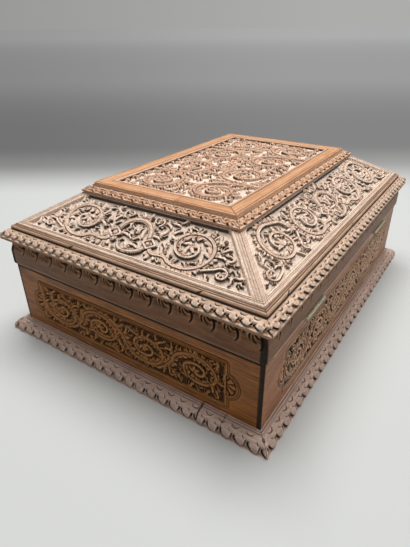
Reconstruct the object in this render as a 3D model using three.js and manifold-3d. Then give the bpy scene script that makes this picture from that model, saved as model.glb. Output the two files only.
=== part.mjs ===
// A carved wooden wedding box: a low rectangular box on a moulded plinth, with a hinged lid
// that rises in four carved slopes to a flat, framed top. Millimetres, +Z up, standing on z = 0.
// The origin is at the centre of the underside. X is the length and +Y is the back, where the hinges are.
import * as THREE from 'three';
import { mergeVertices } from 'three/addons/utils/BufferGeometryUtils.js';
import Module from 'manifold-3d';

// Box body
const WALL_LENGTH = 330; // outside, along X
const WALL_WIDTH = 246; // outside, along Y
const WALL_THICKNESS = 9;
const SEAM_HEIGHT = 68; // top of the walls
const BOTTOM_THICKNESS = 6;

// Carved panel sunk in each wall: a rectangle with a round lobe at each end
const PANEL_FOOT = 18.5;
const PANEL_TOP = 55.5;
const PANEL_DEPTH = 2.4;
const PANEL_LOBE_RADIUS = 9;
const END_PANEL_MARGIN = 28.5; // from the wall's corner to the rectangle, end walls
const LONG_PANEL_MARGIN = 36; // the same, front and back walls

// Plinth moulding
const PLINTH_OVERHANG = 11.5;
const PLINTH_HEIGHT = 11;
const PLINTH_FOOT = 1.6; // upright edge below the carved curve
const PLINTH_FILLET = 3.4; // inner bead, next to the wall
const PLINTH_FILLET_RISE = 1.2; // how far that bead stands above the carved curve
const PLINTH_BREAKS = [46, 26.3]; // across the right-hand plinth, measured from the back corner
const BREAK_WIDTHS = [1.3, 0.4];

// Lid rails and cornice
const LID_GAP = 0.4; // seam between the walls and the closed lid
const RAIL_HEIGHT = 24.6;
const RAIL_PROUD = 1.5; // how far the lid's rails stand outside the walls
const RAIL_ROUNDING = 2; // rounded lower edge
const CORNICE_OVERHANG = 5.5;
const CORNICE_BAND = 4.2; // plain upright band
const CORNICE_CURVE_RUN = 7;
const CORNICE_CURVE_RISE = 3.6;
const CORNICE_INNER = 14; // inner edge, measured in from the wall's face

// Slopes, each with a rounded bead along its foot
const SLOPE_INSET = 2; // face of the bead, measured in from the wall's face
const BEAD_HEIGHT = 3.2;
const BEAD_WIDTH = 3.8;
const BEAD_ROUNDING = 1.4;
const SLOPE_RISE = 26;
const SLOPE_THICKNESS = 8;

// Flat top: a carved sloping border, plain rails and a carved panel
const TOP_INSET = 46; // outer edge of the top, measured in from the wall's face
const TOP_OVERHANG = 2.5; // over the head of the slopes
const TOP_EDGE = 1.5;
const TOP_THICKNESS = 7;
const BORDER_WIDTH = 8;
const BORDER_RISE = 4.3;
const TOP_RAIL_WIDTH = 12.5;
const TOP_GROOVE_DEPTH = 3;
const TOP_GROOVE_HEIGHT = 3;
const TOP_GROOVE_FOOT = 1.2; // below the groove
const TOP_TONGUE_GAP = 0.3;
const TOP_PANEL_DROP = 0.2; // below the rails' upper face
const TOP_RAIL_JOINT = 107.6; // butt joint in the right-hand rail, measured from the back corner

// Carving of the slopes and the top panel: scroll stems and straps stand as ribs on a sunk ground
const CARVING_DEPTH = 2.3;
const REEDS_FOOT = 4.2; // uncarved edge along a slope's foot
const REEDS_HEAD = 3.2;
const REEDS_HIP = 5.4; // square to the hip
const FIELD_MARGIN = 1.2; // uncarved edge of the top panel
const STEM_WIDTH = 2.6;
const STRAP_WIDTH = 4;
const HOOK_WIDTH = 3;
const SCROLL_TURNS = 1.85;
const SCROLL_EYE = 0.12; // share of a scroll's radius that is left at its end
const SCROLL_EASE = 0.9;
const SCROLL_SHOWN = 0.8; // share of its turns that stands clear of the leaves in its eye
const BUD_RADIUS = 4.5;
const ROSETTE_RADIUS = 8;

// Places in the carving, as [along the side, up the carved face]. hand is 1 for anticlockwise.
const END_SCROLLS = [
  { clasp: [-19, 18.5], middle: [-53, 24.5], radii: [22, 17.6], hand: -1 },
  { clasp: [17, 18.5], middle: [49, 24.5], radii: [22, 17.6], hand: 1 },
];
const END_ARCH_MIDDLE = -2;
const END_BUDS = [[-84, 11.5], [80, 11.5]];
const LONG_INNER_SCROLL = { clasp: [-17, 18.5], middle: [-46, 25], radii: [19.5, 17.2], hand: -1 };
const LONG_OUTER_SCROLL = { middle: [-96, 24], radii: [21, 17.6], hand: 1, start: 62 };
const LONG_OUTER_STEM = [[-58, 10], [-67, 17], [-71.5, 27], [-76, 36]];
const LONG_BUD = [-130, 11];
const CLASP_LEAD = [4, -6.5]; // from the clasp to the dip in a scroll's stem
const CLASP_RISE = [-5, 2.6]; // from the start of its round to the point before
const CLASP_TURN = 30; // degrees short of the foot of its round, where the stem joins it
const CLASP_SIZE = [6, 4.2]; // half the lozenge
const ARCH = { rise: 20, radii: [15.5, 16], from: 202, to: -18 };
const ARCH_CLASPS = [[-16.5, 19.5], [18, 18]];
const ARCH_HOOK = [[17, 18], [13, 10.5], [4, 7], [-5, 7.8], [-9, 13]];
const TOP_SCROLLS = [
  { middle: [-73, -28], radii: [21, 21.5], hand: 1, start: -10 },
  { middle: [-25, -28], radii: [21, 21.5], hand: -1, start: 190 },
];
const TOP_FORK = [-49, -43]; // where the stem from the edge parts into two
const TOP_FORK_SPREAD = 1.2;

// Hinges: two brass butt hinges let into the seam
const HINGE_LENGTH = 36;
const HINGE_FROM_CORNER = 59; // from the wall's corner to the near end of the hinge
const LEAF_THICKNESS = 1.2;
const LEAF_SETBACK = 0.8; // from the leaf's edge to the inside of the wall
const KNUCKLE_RADIUS = 1.7;
const KNUCKLE_GAP = 0.3;
const PIN_RADIUS = 0.75;
const PIN_CLEARANCE = 0.15;
const KNUCKLE_SETOFF = 0.3; // between the barrel and the wall

// Countersunk screws
const SCREW_LENGTH = 8;
const SCREW_RADIUS = 0.9;
const SCREW_HEAD_RADIUS = 1.7;
const SCREW_HEAD_HEIGHT = 0.9;
const SCREW_POINT = 1.6;
const SCREW_CLEARANCE = 0.15;
const HINGE_SCREW_SPACING = 20;

// Lock, let into the front wall from the inside
const CASE_LENGTH = 44;
const CASE_DEPTH = 4.8;
const CASE_DROP = 27; // from the top of the wall to the foot of the case
const CASE_PLATE = 0.8;
const SELVEDGE_LENGTH = 56;
const SELVEDGE_WIDTH = 7.8;
const SELVEDGE_THICKNESS = 1.2;
const BOLT_END_CLEARANCE = 0.7; // at each end of its travel
const BOLT_HEIGHT = 4.5;
const BOLT_THICKNESS = 2.6;
const BOLT_DROP = 16.5; // from the top of the wall to the foot of the bolt
const BOLT_TRAVEL = 5;
const BOLT_SLIDE_GAP = 0.2;
const TALON_WIDTH = 5; // notch that the key pushes
const TALON_HEIGHT = 1.4;
const KEY_WELL_LENGTH = 16; // space below the bolt in which the key turns
const HOOK_HEIGHT = 2;
const HOOK_THICKNESS = 1;
const HOOK_POST = 2;
const HOOK_REST = 1.5; // from the eye's middle to the tip of the hook, unlocked
const HOOK_REACH = 6.9; // from the eye's middle to the post
const POST_SETBACK = 0.6; // from the end of the bolt to the first post
const LINK_LENGTH = 46;
const LINK_WIDTH = 7;
const LINK_THICKNESS = 1.2;
const EYE_THICKNESS = 1.8;
const EYE_WIDTH = 2.6;
const EYE_DROP = 9.8; // from the lid's underside to the foot of the eye
const EYE_RIM = 1.4; // metal below the eye's hole
const EYE_HOLE_HEIGHT = 3.4;
const EYE_HOLE_WIDTH = 1.6;
const SLOT_CLEARANCE_LONG = 0.7;
const SLOT_CLEARANCE_WIDE = 0.5;

// Keyhole and its plate
const KEYHOLE_DROP = 20.5; // from the top of the wall to the round of the keyhole
const KEYHOLE_RADIUS = 1.8;
const KEYHOLE_SLOT_WIDTH = 1.6;
const KEYHOLE_SLOT_DROP = 5.5;
const ESCUTCHEON_HALF_WIDTH = 7.5;
const ESCUTCHEON_HALF_HEIGHT = 11;
const ESCUTCHEON_THICKNESS = 1;
const BOSS_MARGIN = 1.5; // uncarved wood round the keyhole plate

// Fits
const MITRE_GAP = 0.3; // across each mitre
const POCKET_GAP = 0.3; // round each fitting that is let into the wood
const OVERCUT = 1; // how far a cut runs past the face that it opens

// Fineness of round work
const ARC_STEPS = 8;
const ROUND_STEPS = 16;
const SCREW_STEPS = 10;
const TURN_STEPS = 10; // in one turn of a scroll
const DRAWN_LENGTH = 1; // of a mitred bar, before its ends are put in their places

// Heights and places that follow from the sizes
const LID_FOOT = SEAM_HEIGHT + LID_GAP;
const CORNICE_FOOT = LID_FOOT + RAIL_HEIGHT;
const BEAD_FOOT = CORNICE_FOOT + CORNICE_BAND + CORNICE_CURVE_RISE;
const SLOPE_FOOT = BEAD_FOOT + BEAD_HEIGHT;
const TOP_FOOT = SLOPE_FOOT + SLOPE_RISE;
const SLOPE_HEAD_INSET = TOP_INSET + TOP_OVERHANG;
const SLOPE_PITCH = SLOPE_RISE / (SLOPE_HEAD_INSET - SLOPE_INSET);
const RAIL_INSET = TOP_INSET + BORDER_WIDTH;
const FIELD_INSET = RAIL_INSET + TOP_RAIL_WIDTH;
const PIN_HEIGHT = SEAM_HEIGHT + LID_GAP / 2;
const PIN_OUT = KNUCKLE_RADIUS + KNUCKLE_SETOFF;

// Colours
const END_WOOD = 0x8f6d45;
const LONG_WOOD = 0x8c7263;
const INSIDE_WOOD = 0xa37f58;
const PLINTH_WOOD = 0x9b8476;
const LID_WOOD = 0xb29a87;
const CORNICE_WOOD = 0xa8886c;
const RAIL_WOOD = 0x84695a;
const PLAIN_WOOD = 0xc58f55;
const BRASS = 0xa5a58c;
const WOOD_ROUGHNESS = 0.7;
const BRASS_ROUGHNESS = 0.5;
const BRASS_METALNESS = 0.8;

// The four sides. reach is from the middle of the box to the wall's face, run is half the wall's length,
// and turns counts quarter turns about Z. On a side, X points out of the wall's face (0 on the face itself),
// Y runs along it and Z is up.
const SIDES = {
  right: { reach: WALL_LENGTH / 2, run: WALL_WIDTH / 2, turns: 0, panelMargin: END_PANEL_MARGIN },
  back: { reach: WALL_WIDTH / 2, run: WALL_LENGTH / 2, turns: 1, panelMargin: LONG_PANEL_MARGIN },
  left: { reach: WALL_LENGTH / 2, run: WALL_WIDTH / 2, turns: 2, panelMargin: END_PANEL_MARGIN },
  front: { reach: WALL_WIDTH / 2, run: WALL_LENGTH / 2, turns: 3, panelMargin: LONG_PANEL_MARGIN },
};

const library = await Module();
library.setup();

function solidOf(geometry) {
  const bare = geometry.clone();
  bare.deleteAttribute('normal');
  bare.deleteAttribute('uv');
  const merged = mergeVertices(bare);
  const mesh = new library.Mesh({
    numProp: 3,
    vertProperties: merged.attributes.position.array,
    triVerts: new Uint32Array(merged.index.array),
  });
  return new library.Manifold(mesh);
}

function geometryOf(solid) {
  const mesh = solid.getMesh();
  const geometry = new THREE.BufferGeometry();
  geometry.setAttribute('position', new THREE.BufferAttribute(mesh.vertProperties, 3));
  geometry.setIndex(new THREE.BufferAttribute(mesh.triVerts, 1));
  geometry.computeVertexNormals();
  return geometry;
}

function cut(geometry, tools) {
  return geometryOf(tools.reduce((left, tool) => left.subtract(solidOf(tool)), solidOf(geometry)));
}

function joined(first, others) {
  return geometryOf(others.reduce((whole, other) => whole.add(solidOf(other)), solidOf(first)));
}

// A plain block between two corners, each given as [out, along, up].
function block(low, high) {
  const size = high.map((value, axis) => value - low[axis]);
  const middle = high.map((value, axis) => (value + low[axis]) / 2);
  return new THREE.BoxGeometry(...size).translate(...middle);
}

// A round bar that lies along the side, centred on (out, up).
function roundBar(radius, from, to, out, up) {
  const bar = new THREE.CylinderGeometry(radius, radius, to - from, ROUND_STEPS);
  return bar.translate(out, (from + to) / 2, up);
}

// An outline drawn on the wall's face as (along, up), made solid from one depth to another.
function sunkShape(outline, outLow, outHigh) {
  const along = new THREE.Vector3(0, 1, 0);
  const up = new THREE.Vector3(0, 0, 1);
  const out = new THREE.Vector3(1, 0, 0);
  return new THREE.ExtrudeGeometry(outline, {
    depth: outHigh - outLow, bevelEnabled: false, curveSegments: ARC_STEPS,
  }).applyMatrix4(new THREE.Matrix4().makeBasis(along, up, out)).translate(outLow, 0, 0);
}

// A bar along one side. Its section is drawn as (out, up), and each end is a mitre unless a place is given.
function mitredBar(section, side, ends = {}) {
  const bar = new THREE.ExtrudeGeometry(section, {
    depth: DRAWN_LENGTH, bevelEnabled: false, curveSegments: ARC_STEPS,
  });
  bar.rotateX(Math.PI / 2);
  const points = bar.attributes.position;
  for (let i = 0; i < points.count; i += 1) {
    const mitre = side.run + points.getX(i) - MITRE_GAP / Math.SQRT2;
    const atHead = points.getY(i) > -DRAWN_LENGTH / 2;
    points.setY(i, atHead ? ends.to ?? mitre : ends.from ?? -mitre);
  }
  bar.computeVertexNormals();
  return bar;
}

function polygon(points) {
  return new THREE.Shape(points.map(([out, up]) => new THREE.Vector2(out, up)));
}

// Wood sections

function wallSection() {
  return polygon([
    [-WALL_THICKNESS, BOTTOM_THICKNESS],
    [0, BOTTOM_THICKNESS],
    [0, SEAM_HEIGHT],
    [-WALL_THICKNESS, SEAM_HEIGHT],
  ]);
}

function plinthSection() {
  const curveTop = PLINTH_HEIGHT - PLINTH_FILLET_RISE;
  const curveRun = PLINTH_OVERHANG - PLINTH_FILLET;
  const bead = PLINTH_FILLET_RISE;
  const section = new THREE.Shape();
  section.moveTo(0, 0);
  section.lineTo(PLINTH_OVERHANG, 0);
  section.lineTo(PLINTH_OVERHANG, PLINTH_FOOT);
  section.absellipse(PLINTH_FILLET, PLINTH_FOOT, curveRun, curveTop - PLINTH_FOOT, 0, Math.PI / 2, false, 0);
  section.absarc(PLINTH_FILLET - bead, curveTop, bead, 0, Math.PI / 2, false);
  section.lineTo(0, PLINTH_HEIGHT);
  return section;
}

function lidRailSection() {
  const section = new THREE.Shape();
  section.moveTo(-WALL_THICKNESS, LID_FOOT);
  section.lineTo(RAIL_PROUD - RAIL_ROUNDING, LID_FOOT);
  section.absarc(RAIL_PROUD - RAIL_ROUNDING, LID_FOOT + RAIL_ROUNDING, RAIL_ROUNDING, -Math.PI / 2, 0, false);
  section.lineTo(RAIL_PROUD, CORNICE_FOOT);
  section.lineTo(-WALL_THICKNESS, CORNICE_FOOT);
  return section;
}

function corniceSection() {
  const bandTop = CORNICE_FOOT + CORNICE_BAND;
  const curveOut = CORNICE_OVERHANG - CORNICE_CURVE_RUN;
  const section = new THREE.Shape();
  section.moveTo(-CORNICE_INNER, CORNICE_FOOT);
  section.lineTo(CORNICE_OVERHANG, CORNICE_FOOT);
  section.lineTo(CORNICE_OVERHANG, bandTop);
  section.absellipse(curveOut, bandTop, CORNICE_CURVE_RUN, CORNICE_CURVE_RISE, 0, Math.PI / 2, false, 0);
  section.lineTo(-CORNICE_INNER, BEAD_FOOT);
  return section;
}

// Height of the slopes' face over a point that lies inset in from the wall's face.
function slopeHeight(inset) {
  return SLOPE_FOOT + (inset - SLOPE_INSET) * SLOPE_PITCH;
}

function beadSection() {
  const face = -SLOPE_INSET;
  const inner = SLOPE_INSET + BEAD_WIDTH;
  const section = new THREE.Shape();
  section.moveTo(-inner, BEAD_FOOT);
  section.lineTo(face, BEAD_FOOT);
  section.lineTo(face, SLOPE_FOOT - BEAD_ROUNDING);
  section.quadraticCurveTo(face, SLOPE_FOOT, face - BEAD_ROUNDING, slopeHeight(SLOPE_INSET + BEAD_ROUNDING));
  section.lineTo(-inner, slopeHeight(inner));
  return section;
}

function slopeSection() {
  const outer = SLOPE_INSET + BEAD_WIDTH;
  const upright = SLOPE_THICKNESS * Math.hypot(1, SLOPE_PITCH);
  const innerFoot = SLOPE_INSET + (BEAD_FOOT + upright - SLOPE_FOOT) / SLOPE_PITCH;
  const innerHead = SLOPE_HEAD_INSET + upright / SLOPE_PITCH;
  return polygon([
    [-innerFoot, BEAD_FOOT],
    [-outer, BEAD_FOOT],
    [-outer, slopeHeight(outer)],
    [-SLOPE_HEAD_INSET, TOP_FOOT],
    [-innerHead, TOP_FOOT],
  ]);
}

function topBorderSection() {
  return polygon([
    [-RAIL_INSET, TOP_FOOT],
    [-TOP_INSET, TOP_FOOT],
    [-TOP_INSET, TOP_FOOT + TOP_EDGE],
    [-RAIL_INSET, TOP_FOOT + TOP_EDGE + BORDER_RISE],
  ]);
}

function topRailSection() {
  const grooveFoot = TOP_FOOT + TOP_GROOVE_FOOT;
  const grooveTop = grooveFoot + TOP_GROOVE_HEIGHT;
  return polygon([
    [-FIELD_INSET, TOP_FOOT],
    [-RAIL_INSET, TOP_FOOT],
    [-RAIL_INSET, TOP_FOOT + TOP_THICKNESS],
    [-FIELD_INSET, TOP_FOOT + TOP_THICKNESS],
    [-FIELD_INSET, grooveTop],
    [TOP_GROOVE_DEPTH - FIELD_INSET, grooveTop],
    [TOP_GROOVE_DEPTH - FIELD_INSET, grooveFoot],
    [-FIELD_INSET, grooveFoot],
  ]);
}

// Carving. A line is a list of points [along, rise], with rise measured up the carved face.

// A scroll's stem: the points that lead into it, then its round as far as the eye
function scrollLine(lead, { middle, radii, hand, start }) {
  const steps = Math.round(SCROLL_TURNS * TURN_STEPS);
  const shown = Math.round(steps * SCROLL_SHOWN);
  const turn = Array.from({ length: shown + 1 }, (_, index) => {
    const share = index / steps;
    const angle = THREE.MathUtils.degToRad(start) + hand * Math.PI * 2 * SCROLL_TURNS * share;
    const shrink = 1 - (1 - SCROLL_EYE) * share ** SCROLL_EASE;
    return [middle[0] + radii[0] * shrink * Math.cos(angle), middle[1] + radii[1] * shrink * Math.sin(angle)];
  });
  return [...lead, ...turn];
}

// A scroll that springs from a clasp, dips to the foot of the slope and rises round its middle
function claspScroll(scroll) {
  const { clasp: [along, rise], hand } = scroll;
  const round = { ...scroll, start: -90 - hand * CLASP_TURN };
  const [first] = scrollLine([], round);
  const dip = [along + hand * CLASP_LEAD[0], rise + CLASP_LEAD[1]];
  return scrollLine([[along, rise], dip, [first[0] + hand * CLASP_RISE[0], first[1] + CLASP_RISE[1]]], round);
}

function arcLine([along, rise], [halfLength, halfRise], fromDegrees, toDegrees) {
  return Array.from({ length: TURN_STEPS + 1 }, (_, index) => {
    const angle = THREE.MathUtils.degToRad(fromDegrees + ((toDegrees - fromDegrees) * index) / TURN_STEPS);
    return [along + halfLength * Math.cos(angle), rise + halfRise * Math.sin(angle)];
  });
}

function mirrored(line, axis = 0) {
  return line.map((point) => point.map((value, index) => (index === axis ? -value : value)));
}

// The outline of a flat band of the given width that follows a line
function bandOutline(line, width) {
  const edge = (side) => line.map(([along, rise], index) => {
    const before = line[Math.max(index - 1, 0)];
    const after = line[Math.min(index + 1, line.length - 1)];
    const run = Math.hypot(after[0] - before[0], after[1] - before[1]);
    const out = (side * width) / 2 / run;
    return [along - (after[1] - before[1]) * out, rise + (after[0] - before[0]) * out];
  });
  return polygon([...edge(1), ...edge(-1).reverse()]);
}

function disc([along, rise], radius) {
  return polygon(arcLine([along, rise], [radius, radius], 0, 360).slice(0, -1));
}

// The arch between two scrolls, with its hook and the two lozenge clasps that hold the scrolls to it
function archOutlines(middle) {
  const placed = (line) => line.map(([along, rise]) => [middle + along, rise]);
  const [halfLength, halfRise] = CLASP_SIZE;
  const clasps = placed(ARCH_CLASPS).map(([along, rise]) => polygon([
    [along - halfLength, rise],
    [along, rise - halfRise],
    [along + halfLength, rise],
    [along, rise + halfRise],
  ]));
  return [
    bandOutline(placed(arcLine([0, ARCH.rise], ARCH.radii, ARCH.from, ARCH.to)), STRAP_WIDTH),
    bandOutline(placed(ARCH_HOOK), HOOK_WIDTH),
    ...clasps,
  ];
}

function endSlopeOutlines() {
  return [
    ...END_SCROLLS.map((scroll) => bandOutline(claspScroll(scroll), STEM_WIDTH)),
    ...END_BUDS.map((bud) => disc(bud, BUD_RADIUS)),
    ...archOutlines(END_ARCH_MIDDLE),
  ];
}

function longSlopeOutlines() {
  const outer = scrollLine(LONG_OUTER_STEM, LONG_OUTER_SCROLL);
  const inner = claspScroll(LONG_INNER_SCROLL);
  return [
    ...[outer, inner, mirrored(outer), mirrored(inner)].map((line) => bandOutline(line, STEM_WIDTH)),
    ...[LONG_BUD, ...mirrored([LONG_BUD])].map((bud) => disc(bud, BUD_RADIUS)),
    ...archOutlines(0),
  ];
}

// Two scrolls on one forked stem, repeated in the four quarters, with a rosette in the middle
function topPanelOutlines(halfWidth) {
  const quarter = TOP_SCROLLS.map((scroll) => scrollLine([
    [TOP_FORK[0], FIELD_MARGIN - halfWidth],
    [TOP_FORK[0] - scroll.hand * TOP_FORK_SPREAD, TOP_FORK[1]],
  ], scroll));
  const half = [...quarter, ...quarter.map((line) => mirrored(line))];
  const whole = [...half, ...half.map((line) => mirrored(line, 1))];
  return [...whole.map((line) => bandOutline(line, STEM_WIDTH)), disc([0, 0], ROSETTE_RADIUS)];
}

// Takes the ground out of a carved face and leaves the ribs standing. place puts a drawn shape on that face.
function carved(geometry, ground, ribs, place) {
  const drawn = (outline, low, high) => place(new THREE.ExtrudeGeometry(outline, {
    depth: high - low, bevelEnabled: false,
  }).translate(0, 0, low));
  const tools = ribs.map((rib) => drawn(rib, -CARVING_DEPTH - OVERCUT, OVERCUT * 2));
  return cut(geometry, [cut(drawn(ground, -CARVING_DEPTH, OVERCUT), tools)]);
}

function slope(name, side) {
  const foot = SLOPE_INSET + BEAD_WIDTH;
  const length = (SLOPE_HEAD_INSET - foot) * Math.hypot(1, SLOPE_PITCH);
  const lean = 1 / Math.hypot(1, SLOPE_PITCH); // run along the wall for each millimetre up the face
  const halfAt = (rise) => side.run - foot - rise * lean - REEDS_HIP * Math.hypot(1, lean);
  const ground = polygon([
    [-halfAt(REEDS_FOOT), REEDS_FOOT],
    [halfAt(REEDS_FOOT), REEDS_FOOT],
    [halfAt(length - REEDS_HEAD), length - REEDS_HEAD],
    [-halfAt(length - REEDS_HEAD), length - REEDS_HEAD],
  ]);
  const along = new THREE.Vector3(0, 1, 0);
  const upSlope = new THREE.Vector3(-1, 0, SLOPE_PITCH).normalize();
  const frame = new THREE.Matrix4().makeBasis(along, upSlope, along.clone().cross(upSlope));
  const ribs = name === 'left' || name === 'right' ? endSlopeOutlines() : longSlopeOutlines();
  return carved(mitredBar(slopeSection(), side), ground, ribs, (drawn) => (
    drawn.applyMatrix4(frame).translate(-foot, 0, slopeHeight(foot))
  ));
}

// Board that lies between the top rails, with a tongue all round
function topPanel() {
  const bodyInset = FIELD_INSET + TOP_TONGUE_GAP;
  const tongueInset = FIELD_INSET - TOP_GROOVE_DEPTH + TOP_TONGUE_GAP;
  const tongueFoot = TOP_FOOT + TOP_GROOVE_FOOT + TOP_TONGUE_GAP;
  const tongueTop = TOP_FOOT + TOP_GROOVE_FOOT + TOP_GROOVE_HEIGHT - TOP_TONGUE_GAP;
  const layer = (inset, foot, top) => block(
    [inset - WALL_LENGTH / 2, inset - WALL_WIDTH / 2, foot],
    [WALL_LENGTH / 2 - inset, WALL_WIDTH / 2 - inset, top],
  );
  const face = TOP_FOOT + TOP_THICKNESS - TOP_PANEL_DROP;
  const plain = joined(layer(bodyInset, TOP_FOOT, face), [layer(tongueInset, tongueFoot, tongueTop)]);
  const halfLength = WALL_LENGTH / 2 - bodyInset;
  const halfWidth = WALL_WIDTH / 2 - bodyInset;
  const corner = [halfLength - FIELD_MARGIN, halfWidth - FIELD_MARGIN];
  const ground = polygon([
    mirrored(mirrored([corner]), 1)[0],
    mirrored([corner], 1)[0],
    corner,
    mirrored([corner])[0],
  ]);
  return carved(plain, ground, topPanelOutlines(halfWidth), (drawn) => drawn.translate(0, 0, face));
}

// Hinges and screws

function screw(clearance = 0) {
  const radius = SCREW_RADIUS + clearance;
  const profile = [
    [0, -SCREW_LENGTH - clearance],
    [radius, -SCREW_LENGTH + SCREW_POINT - clearance],
    [radius, -SCREW_HEAD_HEIGHT],
    [SCREW_HEAD_RADIUS + clearance, 0],
    [0, 0],
  ].map(([across, along]) => new THREE.Vector2(across, along));
  return new THREE.LatheGeometry(profile, SCREW_STEPS);
}

// A screw, or the hole for one, driven down from the seam, or up from it into the lid.
function drivenScrew(out, along, up, intoLid, clearance = 0) {
  const driven = screw(clearance).rotateX(intoLid ? -Math.PI / 2 : Math.PI / 2);
  return driven.translate(out, along, up);
}

function hingeScrewPlaces(middle) {
  return [-1, 1].map((end) => ({ out: -WALL_THICKNESS / 2, along: middle + end * HINGE_SCREW_SPACING / 2 }));
}

// The three knuckles, as [from, to] along the hinge. The lower leaf holds the outer two.
function knuckles(middle) {
  const third = HINGE_LENGTH / 3;
  const start = middle - HINGE_LENGTH / 2;
  return [0, 1, 2].map((index) => [
    start + index * third + (index > 0 ? KNUCKLE_GAP / 2 : 0),
    start + (index + 1) * third - (index < 2 ? KNUCKLE_GAP / 2 : 0),
  ]);
}

function hingeLeaf(middle, upper) {
  const foot = upper ? LID_FOOT : SEAM_HEIGHT - LEAF_THICKNESS;
  const head = foot + LEAF_THICKNESS;
  const from = middle - HINGE_LENGTH / 2;
  const to = middle + HINGE_LENGTH / 2;
  const plate = block(
    [LEAF_SETBACK - WALL_THICKNESS, from, foot],
    [PIN_OUT - KNUCKLE_RADIUS - KNUCKLE_SETOFF, to, head],
  );
  const held = knuckles(middle).filter((span, index) => (index === 1) === upper);
  const arms = held.map(([start, end]) => block([-LEAF_SETBACK, start, foot], [PIN_OUT, end, head]));
  const rings = held.map(([start, end]) => roundBar(KNUCKLE_RADIUS, start, end, PIN_OUT, PIN_HEIGHT));
  const bore = roundBar(PIN_RADIUS + PIN_CLEARANCE, from - OVERCUT, to + OVERCUT, PIN_OUT, PIN_HEIGHT);
  const holes = hingeScrewPlaces(middle).map(({ out, along }) => (
    drivenScrew(out, along, upper ? LID_FOOT : SEAM_HEIGHT, upper, SCREW_CLEARANCE)
  ));
  return cut(joined(plate, [...arms, ...rings]), [bore, ...holes]);
}

function hingePin(middle) {
  const half = HINGE_LENGTH / 2;
  return roundBar(PIN_RADIUS, middle - half, middle + half, PIN_OUT, PIN_HEIGHT);
}

// What one hinge takes out of the wall's top edge or out of the lid rail's underside
function hingePockets(middle, upper) {
  const half = HINGE_LENGTH / 2 + POCKET_GAP;
  const foot = upper ? LID_FOOT - OVERCUT : SEAM_HEIGHT - LEAF_THICKNESS;
  const head = upper ? LID_FOOT + LEAF_THICKNESS : SEAM_HEIGHT + OVERCUT;
  const inner = LEAF_SETBACK - POCKET_GAP - WALL_THICKNESS;
  const leaf = block([inner, middle - half, foot], [RAIL_PROUD + OVERCUT, middle + half, head]);
  const barrel = roundBar(PIN_OUT, middle - half, middle + half, PIN_OUT, PIN_HEIGHT);
  const holes = hingeScrewPlaces(middle).map(({ out, along }) => (
    drivenScrew(out, along, upper ? LID_FOOT : SEAM_HEIGHT, upper, SCREW_CLEARANCE)
  ));
  return upper ? [leaf, barrel, ...holes] : [leaf, ...holes];
}

// Lock

const CASE_BACK = -WALL_THICKNESS; // the case lies flush with the inside of the front wall
const CASE_FACE = CASE_BACK + CASE_DEPTH;
const CASE_MIDDLE = (CASE_BACK + CASE_FACE) / 2;
const LINK_MIDDLE = CASE_BACK + LINK_WIDTH / 2; // the lid's plate lies flush with the inside too
const CASE_FOOT = SEAM_HEIGHT - CASE_DROP;
const CAVITY_HALF = CASE_LENGTH / 2 - CASE_PLATE;
const BOLT_LENGTH = CAVITY_HALF * 2 - BOLT_TRAVEL - BOLT_END_CLEARANCE * 2;
const BOLT_START = -(BOLT_LENGTH + BOLT_TRAVEL) / 2;
const BOLT_FOOT = SEAM_HEIGHT - BOLT_DROP;
const EYE_FOOT = LID_FOOT - EYE_DROP;
const EYE_HOLE_FOOT = EYE_FOOT + EYE_RIM;
const FIRST_EYE = BOLT_START + POST_SETBACK + HOOK_POST + HOOK_REACH;
const EYES = [FIRST_EYE, -FIRST_EYE];
const KEYHOLE_HEIGHT = SEAM_HEIGHT - KEYHOLE_DROP;
const SELVEDGE_SCREW = (SELVEDGE_LENGTH + CASE_LENGTH) / 4; // halfway from the case to the end
const SELVEDGE_SCREWS = [-SELVEDGE_SCREW, SELVEDGE_SCREW];
const LINK_SCREW = (LINK_LENGTH / 2 - FIRST_EYE) / 2; // halfway from the eye to the end
const LINK_SCREWS = [-LINK_SCREW, LINK_SCREW];

function keyholeOutline(margin = 0) {
  const radius = KEYHOLE_RADIUS + margin;
  const half = KEYHOLE_SLOT_WIDTH / 2 + margin;
  const turn = Math.asin(half / radius);
  const outline = new THREE.Shape();
  outline.moveTo(-half, KEYHOLE_HEIGHT - KEYHOLE_SLOT_DROP - margin);
  outline.lineTo(half, KEYHOLE_HEIGHT - KEYHOLE_SLOT_DROP - margin);
  outline.absarc(0, KEYHOLE_HEIGHT, radius, turn - Math.PI / 2, Math.PI * 1.5 - turn, false);
  return outline;
}

function ellipseOutline(halfWidth, halfHeight, height) {
  const outline = new THREE.Shape();
  outline.absellipse(0, height, halfWidth, halfHeight, 0, Math.PI * 2, false, 0);
  return outline;
}

const ESCUTCHEON_HEIGHT = KEYHOLE_HEIGHT - KEYHOLE_SLOT_DROP / 2 + KEYHOLE_RADIUS / 2;

function escutcheon() {
  const oval = ellipseOutline(ESCUTCHEON_HALF_WIDTH, ESCUTCHEON_HALF_HEIGHT, ESCUTCHEON_HEIGHT);
  return cut(sunkShape(oval, 0, ESCUTCHEON_THICKNESS), [
    sunkShape(keyholeOutline(), -OVERCUT, ESCUTCHEON_THICKNESS + OVERCUT),
  ]);
}

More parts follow.
